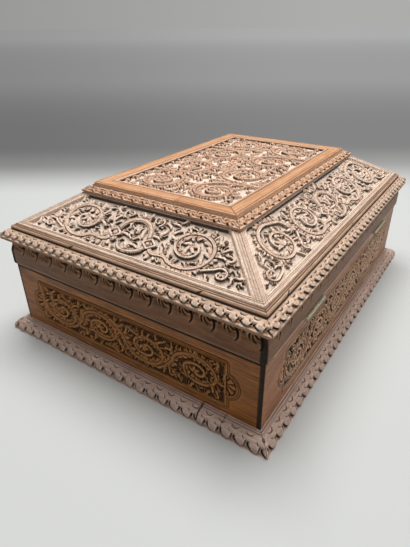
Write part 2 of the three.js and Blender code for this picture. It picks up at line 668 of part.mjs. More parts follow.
function lockCase() {
  const shellTop = SEAM_HEIGHT - SELVEDGE_THICKNESS;
  const shell = block([CASE_BACK, -CASE_LENGTH / 2, CASE_FOOT], [CASE_FACE, CASE_LENGTH / 2, shellTop]);
  const selvedge = block(
    [CASE_BACK, -SELVEDGE_LENGTH / 2, shellTop],
    [CASE_BACK + SELVEDGE_WIDTH, SELVEDGE_LENGTH / 2, SEAM_HEIGHT],
  );
  const cavityBack = CASE_BACK + CASE_PLATE;
  const cavityFace = CASE_FACE - CASE_PLATE;
  const boltSpace = block(
    [cavityBack, -CAVITY_HALF, BOLT_FOOT - BOLT_SLIDE_GAP],
    [cavityFace, CAVITY_HALF, shellTop - CASE_PLATE],
  );
  const keyWell = block(
    [cavityBack, -KEY_WELL_LENGTH / 2, CASE_FOOT + CASE_PLATE],
    [cavityFace, KEY_WELL_LENGTH / 2, BOLT_FOOT],
  );
  const slotHalf = EYE_THICKNESS / 2 + SLOT_CLEARANCE_LONG;
  const slotWide = EYE_WIDTH / 2 + SLOT_CLEARANCE_WIDE;
  const slots = EYES.map((eye) => block(
    [CASE_MIDDLE - slotWide, eye - slotHalf, BOLT_FOOT + BOLT_HEIGHT],
    [CASE_MIDDLE + slotWide, eye + slotHalf, SEAM_HEIGHT + OVERCUT],
  ));
  const holes = SELVEDGE_SCREWS.map((along) => (
    drivenScrew(CASE_BACK + SELVEDGE_WIDTH / 2, along, SEAM_HEIGHT, false, SCREW_CLEARANCE)
  ));
  const keyhole = sunkShape(keyholeOutline(), cavityFace - OVERCUT, CASE_FACE + OVERCUT);
  return cut(joined(shell, [selvedge]), [boltSpace, keyWell, ...slots, keyhole, ...holes]);
}

// The bolt at rest, unlocked: a bar with two hooks that slide along the lock into the lid's eyes
function lockBolt() {
  const back = CASE_MIDDLE - BOLT_THICKNESS / 2;
  const face = CASE_MIDDLE + BOLT_THICKNESS / 2;
  const head = BOLT_FOOT + BOLT_HEIGHT;
  const bar = block([back, BOLT_START, BOLT_FOOT], [face, BOLT_START + BOLT_LENGTH, head]);
  const hookHead = EYE_HOLE_FOOT + (EYE_HOLE_HEIGHT + HOOK_HEIGHT) / 2;
  const hookBack = CASE_MIDDLE - HOOK_THICKNESS / 2;
  const hookFace = CASE_MIDDLE + HOOK_THICKNESS / 2;
  const posts = EYES.map((eye) => block(
    [hookBack, eye - HOOK_REACH - HOOK_POST, head - OVERCUT],
    [hookFace, eye - HOOK_REACH, hookHead],
  ));
  const hooks = EYES.map((eye) => block(
    [hookBack, eye - HOOK_REACH - HOOK_POST / 2, hookHead - HOOK_HEIGHT],
    [hookFace, eye - HOOK_REST, hookHead],
  ));
  const talon = block(
    [back - OVERCUT, -(TALON_WIDTH + BOLT_TRAVEL) / 2, BOLT_FOOT - OVERCUT],
    [face + OVERCUT, (TALON_WIDTH - BOLT_TRAVEL) / 2, BOLT_FOOT + TALON_HEIGHT],
  );
  return cut(joined(bar, [...posts, ...hooks]), [talon]);
}

// The lid's half of the lock: a plate with two eyes that drop into the case
function linkPlate() {
  const plate = block(
    [LINK_MIDDLE - LINK_WIDTH / 2, -LINK_LENGTH / 2, LID_FOOT],
    [LINK_MIDDLE + LINK_WIDTH / 2, LINK_LENGTH / 2, LID_FOOT + LINK_THICKNESS],
  );
  const eyes = EYES.map((eye) => block(
    [CASE_MIDDLE - EYE_WIDTH / 2, eye - EYE_THICKNESS / 2, EYE_FOOT],
    [CASE_MIDDLE + EYE_WIDTH / 2, eye + EYE_THICKNESS / 2, LID_FOOT + LINK_THICKNESS / 2],
  ));
  const holes = EYES.map((eye) => block(
    [CASE_MIDDLE - EYE_HOLE_WIDTH / 2, eye - EYE_THICKNESS, EYE_HOLE_FOOT],
    [CASE_MIDDLE + EYE_HOLE_WIDTH / 2, eye + EYE_THICKNESS, EYE_HOLE_FOOT + EYE_HOLE_HEIGHT],
  ));
  const screwHoles = LINK_SCREWS.map((along) => (
    drivenScrew(LINK_MIDDLE, along, LID_FOOT, true, SCREW_CLEARANCE)
  ));
  return cut(joined(plate, eyes), [...holes, ...screwHoles]);
}

// What the lock takes out of the front wall
function lockPockets() {
  const halfSelvedge = SELVEDGE_LENGTH / 2 + POCKET_GAP;
  const halfCase = CASE_LENGTH / 2 + POCKET_GAP;
  const inside = CASE_BACK - OVERCUT;
  const selvedge = block(
    [inside, -halfSelvedge, SEAM_HEIGHT - SELVEDGE_THICKNESS],
    [CASE_BACK + SELVEDGE_WIDTH + POCKET_GAP, halfSelvedge, SEAM_HEIGHT + OVERCUT],
  );
  const body = block(
    [inside, -halfCase, CASE_FOOT - POCKET_GAP],
    [CASE_FACE + POCKET_GAP, halfCase, SEAM_HEIGHT],
  );
  const holes = SELVEDGE_SCREWS.map((along) => (
    drivenScrew(CASE_BACK + SELVEDGE_WIDTH / 2, along, SEAM_HEIGHT, false, SCREW_CLEARANCE)
  ));
  return [selvedge, body, ...holes, sunkShape(keyholeOutline(POCKET_GAP), CASE_FACE, OVERCUT)];
}

// What the lid's half of the lock takes out of the front rail
function linkPockets() {
  const half = LINK_LENGTH / 2 + POCKET_GAP;
  const plate = block(
    [LINK_MIDDLE - LINK_WIDTH / 2 - POCKET_GAP, -half, LID_FOOT - OVERCUT],
    [LINK_MIDDLE + LINK_WIDTH / 2 + POCKET_GAP, half, LID_FOOT + LINK_THICKNESS],
  );
  const holes = LINK_SCREWS.map((along) => drivenScrew(LINK_MIDDLE, along, LID_FOOT, true, SCREW_CLEARANCE));
  return [plate, ...holes];
}

// The sunk ground of a wall's carved panel: a rectangle with a half-round lobe at each end
function panelOutline(side) {
  const half = side.run - side.panelMargin;
  const middle = (PANEL_FOOT + PANEL_TOP) / 2;
  const outline = new THREE.Shape();
  outline.moveTo(-half, PANEL_FOOT);
  outline.lineTo(half, PANEL_FOOT);
  outline.lineTo(half, middle - PANEL_LOBE_RADIUS);
  outline.absarc(half, middle, PANEL_LOBE_RADIUS, -Math.PI / 2, Math.PI / 2, false);
  outline.lineTo(half, PANEL_TOP);
  outline.lineTo(-half, PANEL_TOP);
  outline.lineTo(-half, middle + PANEL_LOBE_RADIUS);
  outline.absarc(-half, middle, PANEL_LOBE_RADIUS, Math.PI / 2, Math.PI * 1.5, false);
  return outline;
}

function wall(name, side) {
  const plain = mitredBar(wallSection(), side);
  const ground = sunkShape(panelOutline(side), -PANEL_DEPTH, OVERCUT);
  if (name === 'front') {
    const boss = ellipseOutline(
      ESCUTCHEON_HALF_WIDTH + BOSS_MARGIN, ESCUTCHEON_HALF_HEIGHT + BOSS_MARGIN, ESCUTCHEON_HEIGHT,
    );
    const groundRoundBoss = cut(ground, [sunkShape(boss, -PANEL_DEPTH - OVERCUT, OVERCUT * 2)]);
    return cut(plain, [groundRoundBoss, ...lockPockets()]);
  }
  if (name === 'back') {
    return cut(plain, [ground, ...hingeMiddles(side).flatMap((middle) => hingePockets(middle, false))]);
  }
  return cut(plain, [ground]);
}

function lidRail(name, side) {
  const plain = mitredBar(lidRailSection(), side);
  if (name === 'front') {
    return cut(plain, linkPockets());
  }
  if (name === 'back') {
    return cut(plain, hingeMiddles(side).flatMap((middle) => hingePockets(middle, true)));
  }
  return plain;
}

function hingeMiddles(side) {
  const middle = side.run - HINGE_FROM_CORNER - HINGE_LENGTH / 2;
  return [-middle, middle];
}

// Assembly: one group for each side, with X pointing out of that side's wall

const box = new THREE.Group();

function finish(colour, roughness, metalness) {
  return new THREE.MeshStandardMaterial({ color: colour, roughness, metalness });
}

function addPiece(parent, name, geometry, colour, roughness = WOOD_ROUGHNESS, metalness = 0) {
  const mesh = new THREE.Mesh(geometry, finish(colour, roughness, metalness));
  mesh.name = name;
  parent.add(mesh);
}

function addBrass(parent, name, geometry) {
  addPiece(parent, name, geometry, BRASS, BRASS_ROUGHNESS, BRASS_METALNESS);
}

function addSide(side) {
  const turned = new THREE.Group();
  turned.rotation.z = side.turns * Math.PI / 2;
  const face = new THREE.Group();
  face.position.x = side.reach;
  turned.add(face);
  box.add(turned);
  return face;
}

// The right-hand plinth is broken twice near the back corner, which leaves three pieces.
function addBrokenPlinth(face, side) {
  const [far, near] = PLINTH_BREAKS.map((fromCorner) => side.run - fromCorner);
  const [farHalf, nearHalf] = BREAK_WIDTHS.map((width) => width / 2);
  addPiece(face, 'plinth_right', mitredBar(plinthSection(), side, { to: far - farHalf }), PLINTH_WOOD);
  const patch = mitredBar(plinthSection(), side, { from: far + farHalf, to: near - nearHalf });
  addPiece(face, 'plinth_right_middle', patch, PLINTH_WOOD);
  const corner = mitredBar(plinthSection(), side, { from: near + nearHalf });
  addPiece(face, 'plinth_right_corner', corner, PLINTH_WOOD);
}

// The right-hand top rail is made of two lengths, butted together.
function addJointedTopRail(face, side) {
  const joint = side.run - TOP_RAIL_JOINT;
  const gap = MITRE_GAP / 2;
  addPiece(face, 'top_rail_right', mitredBar(topRailSection(), side, { to: joint - gap }), PLAIN_WOOD);
  addPiece(face, 'top_rail_right_end', mitredBar(topRailSection(), side, { from: joint + gap }), PLAIN_WOOD);
}

function addHinges(face, side) {
  hingeMiddles(side).forEach((middle, index) => {
    const hinge = index === 0 ? 'right_hinge' : 'left_hinge';
    addBrass(face, `${hinge}_lower_leaf`, hingeLeaf(middle, false));
    addBrass(face, `${hinge}_upper_leaf`, hingeLeaf(middle, true));
    addBrass(face, `${hinge}_pin`, hingePin(middle));
    hingeScrewPlaces(middle).forEach(({ out, along }, number) => {
      addBrass(face, `${hinge}_lower_screw_${number + 1}`, drivenScrew(out, along, SEAM_HEIGHT, false));
      addBrass(face, `${hinge}_upper_screw_${number + 1}`, drivenScrew(out, along, LID_FOOT, true));
    });
  });
}

function addLock(face) {
  addBrass(face, 'lock_case', lockCase());
  addBrass(face, 'lock_bolt', lockBolt());
  addBrass(face, 'lock_link_plate', linkPlate());
  addBrass(face, 'keyhole_plate', escutcheon());
  SELVEDGE_SCREWS.forEach((along, index) => {
    const out = CASE_BACK + SELVEDGE_WIDTH / 2;
    addBrass(face, `lock_screw_${index + 1}`, drivenScrew(out, along, SEAM_HEIGHT, false));
  });
  LINK_SCREWS.forEach((along, index) => {
    addBrass(face, `link_screw_${index + 1}`, drivenScrew(LINK_MIDDLE, along, LID_FOOT, true));
  });
}

const bottomBoard = block(
  [-WALL_LENGTH / 2, -WALL_WIDTH / 2, 0],
  [WALL_LENGTH / 2, WALL_WIDTH / 2, BOTTOM_THICKNESS],
);
addPiece(box, 'bottom_board', bottomBoard, INSIDE_WOOD);
addPiece(box, 'top_panel', topPanel(), LID_WOOD);

for (const [name, side] of Object.entries(SIDES)) {
  const face = addSide(side);
  const isEnd = name === 'left' || name === 'right';
  addPiece(face, `${name}_wall`, wall(name, side), isEnd ? END_WOOD : LONG_WOOD);
  addPiece(face, `lid_rail_${name}`, lidRail(name, side), RAIL_WOOD);
  addPiece(face, `cornice_${name}`, mitredBar(corniceSection(), side), CORNICE_WOOD);
  addPiece(face, `slope_bead_${name}`, mitredBar(beadSection(), side), CORNICE_WOOD);
  addPiece(face, `slope_${name}`, slope(name, side), LID_WOOD);
  addPiece(face, `top_border_${name}`, mitredBar(topBorderSection(), side), LID_WOOD);
  if (name === 'right') {
    addBrokenPlinth(face, side);
    addJointedTopRail(face, side);
  } else {
    addPiece(face, `plinth_${name}`, mitredBar(plinthSection(), side), PLINTH_WOOD);
    addPiece(face, `top_rail_${name}`, mitredBar(topRailSection(), side), PLAIN_WOOD);
  }
  if (name === 'back') {
    addHinges(face, side);
  }
  if (name === 'front') {
    addLock(face);
  }
}

export default box;
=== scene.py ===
"""A carved wooden wedding box: the carving cut into its woods, and the finish of the woods and the brass."""

import math
from typing import NamedTuple

import bmesh
import bpy
import numpy as np
from mathutils import Matrix, Vector


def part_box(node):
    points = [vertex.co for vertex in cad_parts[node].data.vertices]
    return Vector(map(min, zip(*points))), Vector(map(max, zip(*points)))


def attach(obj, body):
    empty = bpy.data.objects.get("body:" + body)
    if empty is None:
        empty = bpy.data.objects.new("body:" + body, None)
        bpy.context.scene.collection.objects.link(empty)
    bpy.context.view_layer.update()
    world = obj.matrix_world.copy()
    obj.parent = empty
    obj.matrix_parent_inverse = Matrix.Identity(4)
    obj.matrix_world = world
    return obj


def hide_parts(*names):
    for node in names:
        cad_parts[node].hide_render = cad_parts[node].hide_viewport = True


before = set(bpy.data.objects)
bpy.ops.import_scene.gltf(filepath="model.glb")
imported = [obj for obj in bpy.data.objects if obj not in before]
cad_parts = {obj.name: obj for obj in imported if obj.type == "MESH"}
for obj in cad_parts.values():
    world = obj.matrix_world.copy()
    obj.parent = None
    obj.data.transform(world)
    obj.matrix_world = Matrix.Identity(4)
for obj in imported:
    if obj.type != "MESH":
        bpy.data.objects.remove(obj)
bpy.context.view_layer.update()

# Sizes. Lengths here are millimetres; a mesh is made in metres.
MM = 0.001
GRID = 0.55  # between the points of a carved face
RASTER = 0.3  # between the points of a relief, which is finer
CURVE_STEP = 0.5
SCROLL_STEP = 0.45
STRAP_STEP = 0.4
ARRIS = 0.45  # rounding of a handled edge
RAIL_ROUNDING = 2
CORNICE_BAND = 4.2
CORNICE_LIP = 1.5  # the flat behind the cornice's curve
BEAD_FACE = 1.8
BEAD_ROUNDING = 1.4
PLINTH_FOOT = 1.6
PLINTH_BEAD = 1.2
PLINTH_FILLET = 3.4
SLOPE_THICK = 6.87  # across the foot of a slope board
HINGE_HALF = 18
LEAF_ROOM = 1.2  # depth of wood cut away for a hinge leaf or a lock plate
LEAF_INNER = -8.5
HINGE_ROOM = 0.3  # round the ends of a fitting that is let into the wood
LOCK_PLATE_HALF = 28
LOCK_PLATE_INNER = -0.9
LOCK_CASE_HALF = 22
LOCK_CASE_FACE = -3.9
LOCK_CASE_DROP = 27
LINK_HALF = 23
LINK_FACE = -1.7
PANEL_FOOT = 18.5
PANEL_TOP = 55.5
PANEL_LOBE = 9
END_PANEL_MARGIN = 28.5
LONG_PANEL_MARGIN = 36
KEYHOLE_DROP = 20.5
BOSS = (9, 12.5)
FOOT_REEDS, HEAD_REEDS, HIP_REEDS = 3.9, 2.6, 5.1  # widths of the reeds along a slope's edges
FOOT_MARGIN, HEAD_MARGIN, HIP_MARGIN = 4.2, 3.2, 5.4  # from those edges to the sunk ground
FIELD_MARGIN = 1.2  # the same for the top panel
TONGUE_FOOT, TONGUE_TOP = 1.5, 3.9  # of the top panel, above its underside
CORNICE_LEAF, PLINTH_LEAF, RAIL_LEAF, BORDER_WAVE = 9.2, 11.5, 17, 11.0  # from one leaf to the next

# Age, with painted light and shade, from 0 to 1 unless it is a length
SEAM_SHADOW = 2.4  # width of the painted shadow along the seam
CORNER_SOILING_AND_SHADE = 0.7  # how dark the ends of the end walls are made: soiling, and painted shade in the corners
CORNER_REACH = (4.5, 2.5)  # where that darkening ends, and where it is full
SEAM_HIGHLIGHT_ENDS = (11, 13)  # how far from the corners the painted highlight along the seam begins, and is full
# how dark the upright face under the bead's round is made: painted shade
BEAD_FACE_SHADE = 0.7
LONG_PANEL_DIRT, END_PANEL_DIRT = 0.6, 0.44
INSIDE_AGE = 0.44  # how dark the inside of the lid has gone
WALL_WEAR, RAIL_WEAR, PLINTH_WEAR = 0.7, 0.6, 0.3  # how far the corners have worn round

# For each kind of carving, the depth of its sunk ground, and what is added to its side's seed.
CUTTING = {
    "slope": (2.8, 0), "wall": (2.4, 0), "cornice": (1.5, 20), "plinth": (1.5, 30), "lid_rail": (2.0, 40),
    "border": (1.2, 50), "bead": (0.5, 60),
}
FIELD_SINK = 2.6
FIELD_SEED = 11


def corners(node):
    low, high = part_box(node)
    return [value / MM for value in low], [value / MM for value in high]


def section_box(node):
    """How far in and out of the wall's face a right-hand node lies, then its foot and its top."""
    low, high = corners(node)
    return low[0] - WALL_X, high[0] - WALL_X, low[2], high[2]


WALL_X = corners("right_wall")[1][0]
WALL_Y = corners("back_wall")[1][1]
WALL_FOOT = corners("back_wall")[0][2]
SEAM = corners("back_wall")[1][2]
MITRE = WALL_Y - corners("right_wall")[1][1]
LID_FOOT = corners("lid_rail_right")[0][2]
HINGE_X, PIN_Y, PIN_Z = (sum(pair) / 2 for pair in zip(*corners("right_hinge_pin")))
BARREL_ROOM = PIN_Y - WALL_Y  # radius cut out of the back rail round each barrel


class Side(NamedTuple):
    """One side of the box. Out is measured from the wall's face, which is at reach from the middle. Along goes to
    the right as seen from outside, up to run, and up is height. turns is in quarters, round from +X."""
    reach: float
    run: float
    turns: int
    seed: int
    grain: str
    # how dark the walls and lid rails are made at their right-hand ends, as seen from outside: soiling, and painted
    # shade on the rounded corner
    added_soiling_and_shade: float
    dents: tuple


SIDES = {
    "right": Side(WALL_X, WALL_Y, 0, 3, "Y", 0.55, (-47, 73)),
    "back": Side(WALL_Y, WALL_X, 1, 5, "X", 0.15, (-133, -4)),
    "left": Side(WALL_X, WALL_Y, 2, 7, "Y", 0.25, (31,)),
    "front": Side(WALL_Y, WALL_X, 3, 9, "X", 0.25, (64, 110)),
}


# Lines and fields


def smooth(low, high, value):
    share = np.clip((value - low) / (high - low), 0, 1)
    return share * share * (3 - 2 * share)


def measured(points):
    """Distances along a line of points, from its start."""
    return np.concatenate([[0], np.cumsum(np.hypot(*np.diff(points, axis=0).T))])


def resampled(points, step):
    points = np.array(points, float)
    run = measured(points)
    places = np.linspace(0, run[-1], max(2, math.ceil(run[-1] / step) + 1))
    return np.stack([np.interp(places, run, points[:, axis]) for axis in (0, 1)], axis=1)


def curve(points):
    """A smooth line through the given points."""
    points = np.array(points, float)
    ends = np.vstack([2 * points[0] - points[1], points, 2 * points[-1] - points[-2]])
    f = np.linspace(0, 1, 13)[:-1, None]
    parts = []
    for a, b, c, d in zip(ends, ends[1:], ends[2:], ends[3:]):
        straight = 2 * b + (c - a) * f
        bowed = (2 * a - 5 * b + 4 * c - d) * f**2 + (3 * b - a - 3 * c + d) * f**3
        parts.append((straight + bowed) / 2)
    return resampled(np.vstack(parts + [points[-1:]]), CURVE_STEP)


def arc(centre, radii, first, last):
    """Points round an ellipse between two angles in degrees."""
    angle = np.radians(np.linspace(first, last, max(8, int(abs(last - first) / 6))))
    return np.stack([centre[0] + radii[0] * np.cos(angle), centre[1] + radii[1] * np.sin(angle)], 1)


def volute(centre, radii, turns, start, hand, eye=0.14, ease=0.9):
    """A scroll that winds inwards from an ellipse. hand is 1 for anticlockwise and -1 for clockwise."""
    f = np.linspace(0, 1, int(90 * turns))
    angle = math.radians(start) + hand * 2 * math.pi * turns * f
    shrink = 1 - (1 - eye) * f**ease
    x = centre[0] + radii[0] * shrink * np.cos(angle)
    y = centre[1] + radii[1] * shrink * np.sin(angle)
    return resampled(np.stack([x, y], 1), SCROLL_STEP)


def stemmed(lead, scroll):
    """A scroll with the stem that leads into it, as one line."""
    stem = curve(list(lead) + [scroll[0], scroll[3]])
    return resampled(np.vstack([stem[:-1], scroll[4:]]), SCROLL_STEP)


def bend(root, heading, length, curl):
    """A line that leaves root at the angle heading and turns by curl in all."""
    steps = max(6, int(length / STRAP_STEP))
    f = (np.arange(steps) + 0.5) / steps
    angle = heading + curl * f
    moves = np.stack([np.cos(angle), np.sin(angle)], 1) * length / steps
    return np.vstack([[root], root + np.cumsum(moves, axis=0)])


def swelling(points, first, share):
    """How a cut widens and narrows along its line: part of the half wave of a sine."""
    return np.sin(np.pi * (first + share * np.linspace(0, 1, len(points))))


def way_of(angle):
    return np.array([math.cos(angle), math.sin(angle)])


def tangent_at(path, at):
    go = path[at + 1] - path[at]
    return math.atan2(go[1], go[0])


def blurred(field, radius):
    """A field averaged over a square of the given radius, twice over."""
    width = 2 * radius + 1
    for axis in (0, 1, 0, 1):
        pad = [(0, 0), (0, 0)]
        pad[axis] = (radius + 1, radius)
        sums = np.cumsum(np.pad(field, pad, mode="edge"), axis=axis)
        ahead, behind = np.delete(sums, slice(0, width), axis), np.delete(sums, slice(-width, None), axis)
        field = (ahead - behind) / width
    return field


# Carving


class Relief:
    """The carving of one face, as heights on a square raster. x runs along the piece and y across it, from the
    foot. A level of 1 is the uncut face and 0 is the sunk ground, and cuts go down from either."""

    SIDE = 0.35  # run of a carved side
    MOAT = 0.75  # width of the cut that parts one form from what lies behind it
    LOW = 0.25  # what is lower than this is free ground
    EVERY = 3  # raster points to one of the coarser raster on which gaps are sought

    def __init__(self, low, high, sink, seed):
        self.low = np.array(low, float)
        count = np.ceil((np.array(high, float) - self.low) / RASTER).astype(int) + 1
        self.x = self.low[0] + np.arange(count[0]) * RASTER
        self.y = self.low[1] + np.arange(count[1]) * RASTER
        self.along, self.up = np.meshgrid(self.x, self.y)
        self.level = np.ones(self.up.shape)
        self.cuts = np.zeros(self.up.shape)
        self.field = np.zeros(self.up.shape, bool)
        self.sink = sink
        self.random = np.random.default_rng(seed)

    def about(self, spread):
        return 1 + self.random.uniform(-spread, spread)

    def sunk(self, inside):
        """Sinks the ground where inside, a distance in from the region's edge, is above zero."""
        self.level *= 1 - smooth(0, 0.5, inside)
        self.field |= inside > 0

    def reeds(self, distance, width, pitch, depth):
        """Fine rounded reeds side by side, across a band of the given width."""
        inside = (distance > 0) & (distance < width)
        valley = depth * (1 - np.abs(np.sin(np.pi * distance / pitch))) ** 1.5
        self.cuts = np.where(inside, np.maximum(self.cuts, valley), self.cuts)

    def cleared(self):
        """Wipes what the leaves left on the plain face round the field."""
        self.level[~self.field] = 1
        self.cuts[~self.field] = 0

    def groove(self, distance, width, depth):
        """A rounded groove where distance is near zero."""
        np.maximum(self.cuts, depth * np.exp(-((distance / width) ** 2)), out=self.cuts)

    def trace(self, points, halves, margin):
        """How far each raster point near a line lies from its edge, and the line's half width there."""
        reach = float(np.max(halves)) + margin
        low = np.floor((points.min(0) - reach - self.low) / RASTER).astype(int)
        high = np.ceil((points.max(0) + reach - self.low) / RASTER).astype(int) + 1
        low = np.maximum(low, 0)
        high = np.minimum(high, self.level.shape[::-1])
        if np.any(high <= low):
            return None
        rows, cols = slice(low[1], high[1]), slice(low[0], high[0])
        x, y = self.x[cols], self.y[rows]
        start = np.array([x[0], y[0]])
        edge = np.full((len(y), len(x)), 9.0)
        half = np.ones_like(edge)
        for point, h in zip(points, halves):
            first = np.maximum(np.floor((point - h - margin - start) / RASTER).astype(int), 0)
            last = np.maximum(np.ceil((point + h + margin - start) / RASTER).astype(int) + 1, 0)
            window = slice(first[1], last[1]), slice(first[0], last[0])
            near = np.hypot(x[window[1]] - point[0], y[window[0], None] - point[1]) - h
            closer = near < edge[window]
            edge[window][closer] = near[closer]
            half[window][closer] = h
        return (rows, cols), edge, half

    def ridge(self, points, halves, top=1.0, crown=0.25, vein=0.0, line=0.0, moat=0.6):
        """Raises a rounded ridge. vein is a groove down its middle, and line one inside its edges."""
        found = self.trace(points, halves, self.MOAT + RASTER)
        if found is None:
            return
        window, edge, half = found
        level, cuts = self.level[window], self.cuts[window]
        inner = np.clip(-edge / half, 0, 1)
        body = smooth(self.SIDE, -0.05, edge)
        level *= 1 - moat * smooth(self.MOAT, 0.1, edge) * self.field[window]
        cuts *= 1 - body
        np.maximum(level, top * (1 - crown * (1 - inner) ** 2) * body, out=level)
        cuts += vein * np.exp(-(((inner - 1) * half / 0.36) ** 2)) * body * (half > 0.9)
        cuts += line * np.exp(-(((edge + 0.36 * half) / 0.28) ** 2)) * body

    def cut(self, points, halves, depth):
        """Takes out a V of the given depth along a line."""
        found = self.trace(points, halves, RASTER)
        if found is None:
            return
        window, edge, half = found
        share = np.clip((0.25 - edge) / (half + 0.25), 0, 1)
        self.cuts[window] = np.maximum(self.cuts[window], depth * share**0.8)

    def lobe(self, root, heading, length, curl, width, top=0.95, vein=0.35):
        """One pointed lobe of a leaf."""
        points = bend(np.array(root, float), heading, length, curl)
        f = np.linspace(0, 1, len(points))
        halves = width * 0.66 * (f + 0.1) ** 0.45 * (1 - f) ** 0.6 + 0.12
        self.ridge(points, halves, top * (1 - 0.12 * self.random.random()), vein=vein, moat=0.2)

    def nick(self, root, heading, length, curl, width=1.1, depth=1.6):
        """A comma cut: a point, a swelling and a tail."""
        points = bend(np.array(root, float), heading, length, curl)
        self.cut(points, width / 2 * swelling(points, 0.12, 0.8) ** 0.8, depth)

    def leaf(self, root, heading, size, hand, lobes=3):
        """A flame-shaped leaf: lobes that fan out from root and curl over, with comma cuts between them."""
        for index in reversed(range(lobes)):
            turn = heading - hand * (0.15 + 0.62 * index)
            length = size * (1 - 0.2 * index) * self.about(0.1)
            self.lobe(root, turn, length, hand * (1.35 - 0.25 * index), 0.36 * size)
        for index in range(lobes - 1):
            turn = heading - hand * (0.42 + 0.62 * index)
            self.nick(root + way_of(turn) * size * 0.34, turn, size * 0.34, hand * 0.9, 0.5 + size * 0.08)

    def leaves(self, path, side, first, last, size):
        """Pairs of lobes along one side of a stem, smaller as they go, and most with a drop-shaped cut."""
        run = measured(path)
        places, place = [], run[-1] * first
        while place < run[-1] * last:
            near = size * (1 - 0.3 * (place / run[-1] - first) / max(last - first, 0.01)) * self.about(0.12)
            places.append((min(int(np.searchsorted(run, place)), len(path) - 2), near))
            place += near * 0.8 * self.about(0.15)
        for at, near in reversed(places):
            heading = tangent_at(path, at)
            for turn, share in ((1.35, 0.65), (0.5, 1.0)):
                length = near * share * self.about(0.2)
                turn = side * (turn + self.random.uniform(-0.15, 0.15))
                self.lobe(path[at], heading + turn, length, side * 0.9 - 0.4 * turn, 0.56 * near, 0.96, 0.25)
        for at, near in places:
            heading = tangent_at(path, at) + side * 0.8
            root = path[at] + way_of(heading) * near * self.random.uniform(0.4, 0.6)
            if self.random.random() > 0.4:
                self.nick(root, heading, near * 0.3, side * 0.5, 0.5 + near * 0.05, 1.4)

    def eye(self, path, hand, size):
        """The leafy end of a scroll."""
        tangent = tangent_at(path, len(path) - 4)
        for turn in (2.5, 1.5, 0.5, -0.6):
            self.lobe(path[-1], tangent + hand * turn, size * self.about(0.12), hand * 1.1, size * 0.46)
        self.cut(np.array([path[-1], path[-1] + 0.01]), np.array([0.4, 0.4]), 1.2)

    def scroll(self, path, hand, width, lobe, inner=(0.1, 0.75), outer=(0.04, 0.45)):
        """A scroll, its eye, and leaves on its inner and outer edges between those shares of its length."""
        self.leaves(path, -hand, *outer, lobe * 0.9)
        self.leaves(path, hand, *inner, lobe)
        halves = width / 2 * (1 - 0.35 * np.linspace(0, 1, len(path)))
        self.ridge(path, halves, crown=0.04, vein=0.5, moat=0.75)
        self.eye(path, hand, lobe * 0.8)

    def gaps(self):
        """On the coarser raster, how far each free place lies from standing wood or the edge of the field."""
        coarse = slice(None, None, self.EVERY)
        free = (self.level[coarse, coarse] < self.LOW) & self.field[coarse, coarse]
        far = np.where(free, 40.0, 0.0)
        for _ in range(24):
            best = far.copy()
            for down, across in ((0, 1), (1, 0), (1, 1), (1, -1)):
                for sign in (-1, 1):
                    moved = np.roll(far, (sign * down, sign * across), (0, 1))
                    np.minimum(best, moved + math.hypot(down, across), out=best)
            best[~free] = 0
            if np.array_equal(best, far):
                break
            far = best
        return far * RASTER * self.EVERY

    def nearest_wood(self, middle, radius):
        """Distance and direction from a free place to the standing wood nearest to it."""
        found = (radius * 0.9, self.random.uniform(0, 2 * math.pi))
        best = radius * 2
        for turn in np.linspace(0, 2 * math.pi, 16, endpoint=False):
            for reach in np.arange(radius * 0.6, best, 0.6):
                col, row = ((middle + way_of(turn) * reach - self.low) / RASTER).astype(int)
                if not (0 <= row < len(self.y) and 0 <= col < len(self.x)) or not self.field[row, col]:
                    break
                if self.level[row, col] > self.LOW:
                    found, best = (reach, turn), reach
                    break
        return found

    def fill_gaps(self, least, most, limit=200):
        """Leaves grow from the nearest wood into each gap that is left, the widest gap first."""
        for _ in range(limit):
            far = self.gaps()
            row, col = np.unravel_index(np.argmax(far), far.shape)
            radius = far[row, col]
            if radius < least:
                break
            middle = np.array([self.x[col * self.EVERY], self.y[row * self.EVERY]])
            reach, turn = self.nearest_wood(middle, radius)
            size = min(most, reach + radius * 0.6)
            hand = 1 if self.random.random() > 0.5 else -1
            lobes = 3 if size > 4.5 else 2
            self.leaf(middle + way_of(turn) * reach, turn + math.pi + hand * 0.1, size, hand, lobes)

    def mirrored(self, axis):
        """Copies the low half of the raster over the high half, along x (1) or y (0)."""
        for field in (self.level, self.cuts):
            half = field.shape[axis] // 2
            place = [slice(None), slice(None)]
            place[axis] = slice(field.shape[axis] - half, None)
            field[tuple(place)] = np.flip(np.take(field, range(half), axis), axis)

    def finished(self):
        """Depth, and from 0 to 1: how dark each point is made by soiling and painted shade, how pale by wear and
        painted highlight, and how far it lies on the ground.
        """
        self.depth = self.sink * (1 - self.level) + self.cuts
        rise, run = np.gradient(self.depth, RASTER)
        slant = np.hypot(rise, run)
        # Painted shade: steep carved sides, and most of all the sides that face the foot, are darkened as if shaded
        # from a light above.
        under = 0.4 + 0.6 * np.clip(-rise / (slant + 0.1), 0, 1)
        # Darker at the foot of each form and in the cuts: soiling, and painted shade.
        near = (self.depth - blurred(self.depth, 1)) / 0.5
        self.hollow = np.clip(np.maximum(np.maximum(near, (slant - 1) / 2.5) * under, self.cuts / 1.1), 0, 1)
        # Paler where the surface stands above what is round it: wear, and a painted highlight.
        self.crest = np.clip((blurred(self.depth, 4) - self.depth) / 0.7, 0, 1)
        self.ground = self.field * smooth(0.35, 0.1, self.level)
        return self

    def at_least(self, layer, values):
        setattr(self, layer, np.maximum(getattr(self, layer), values))

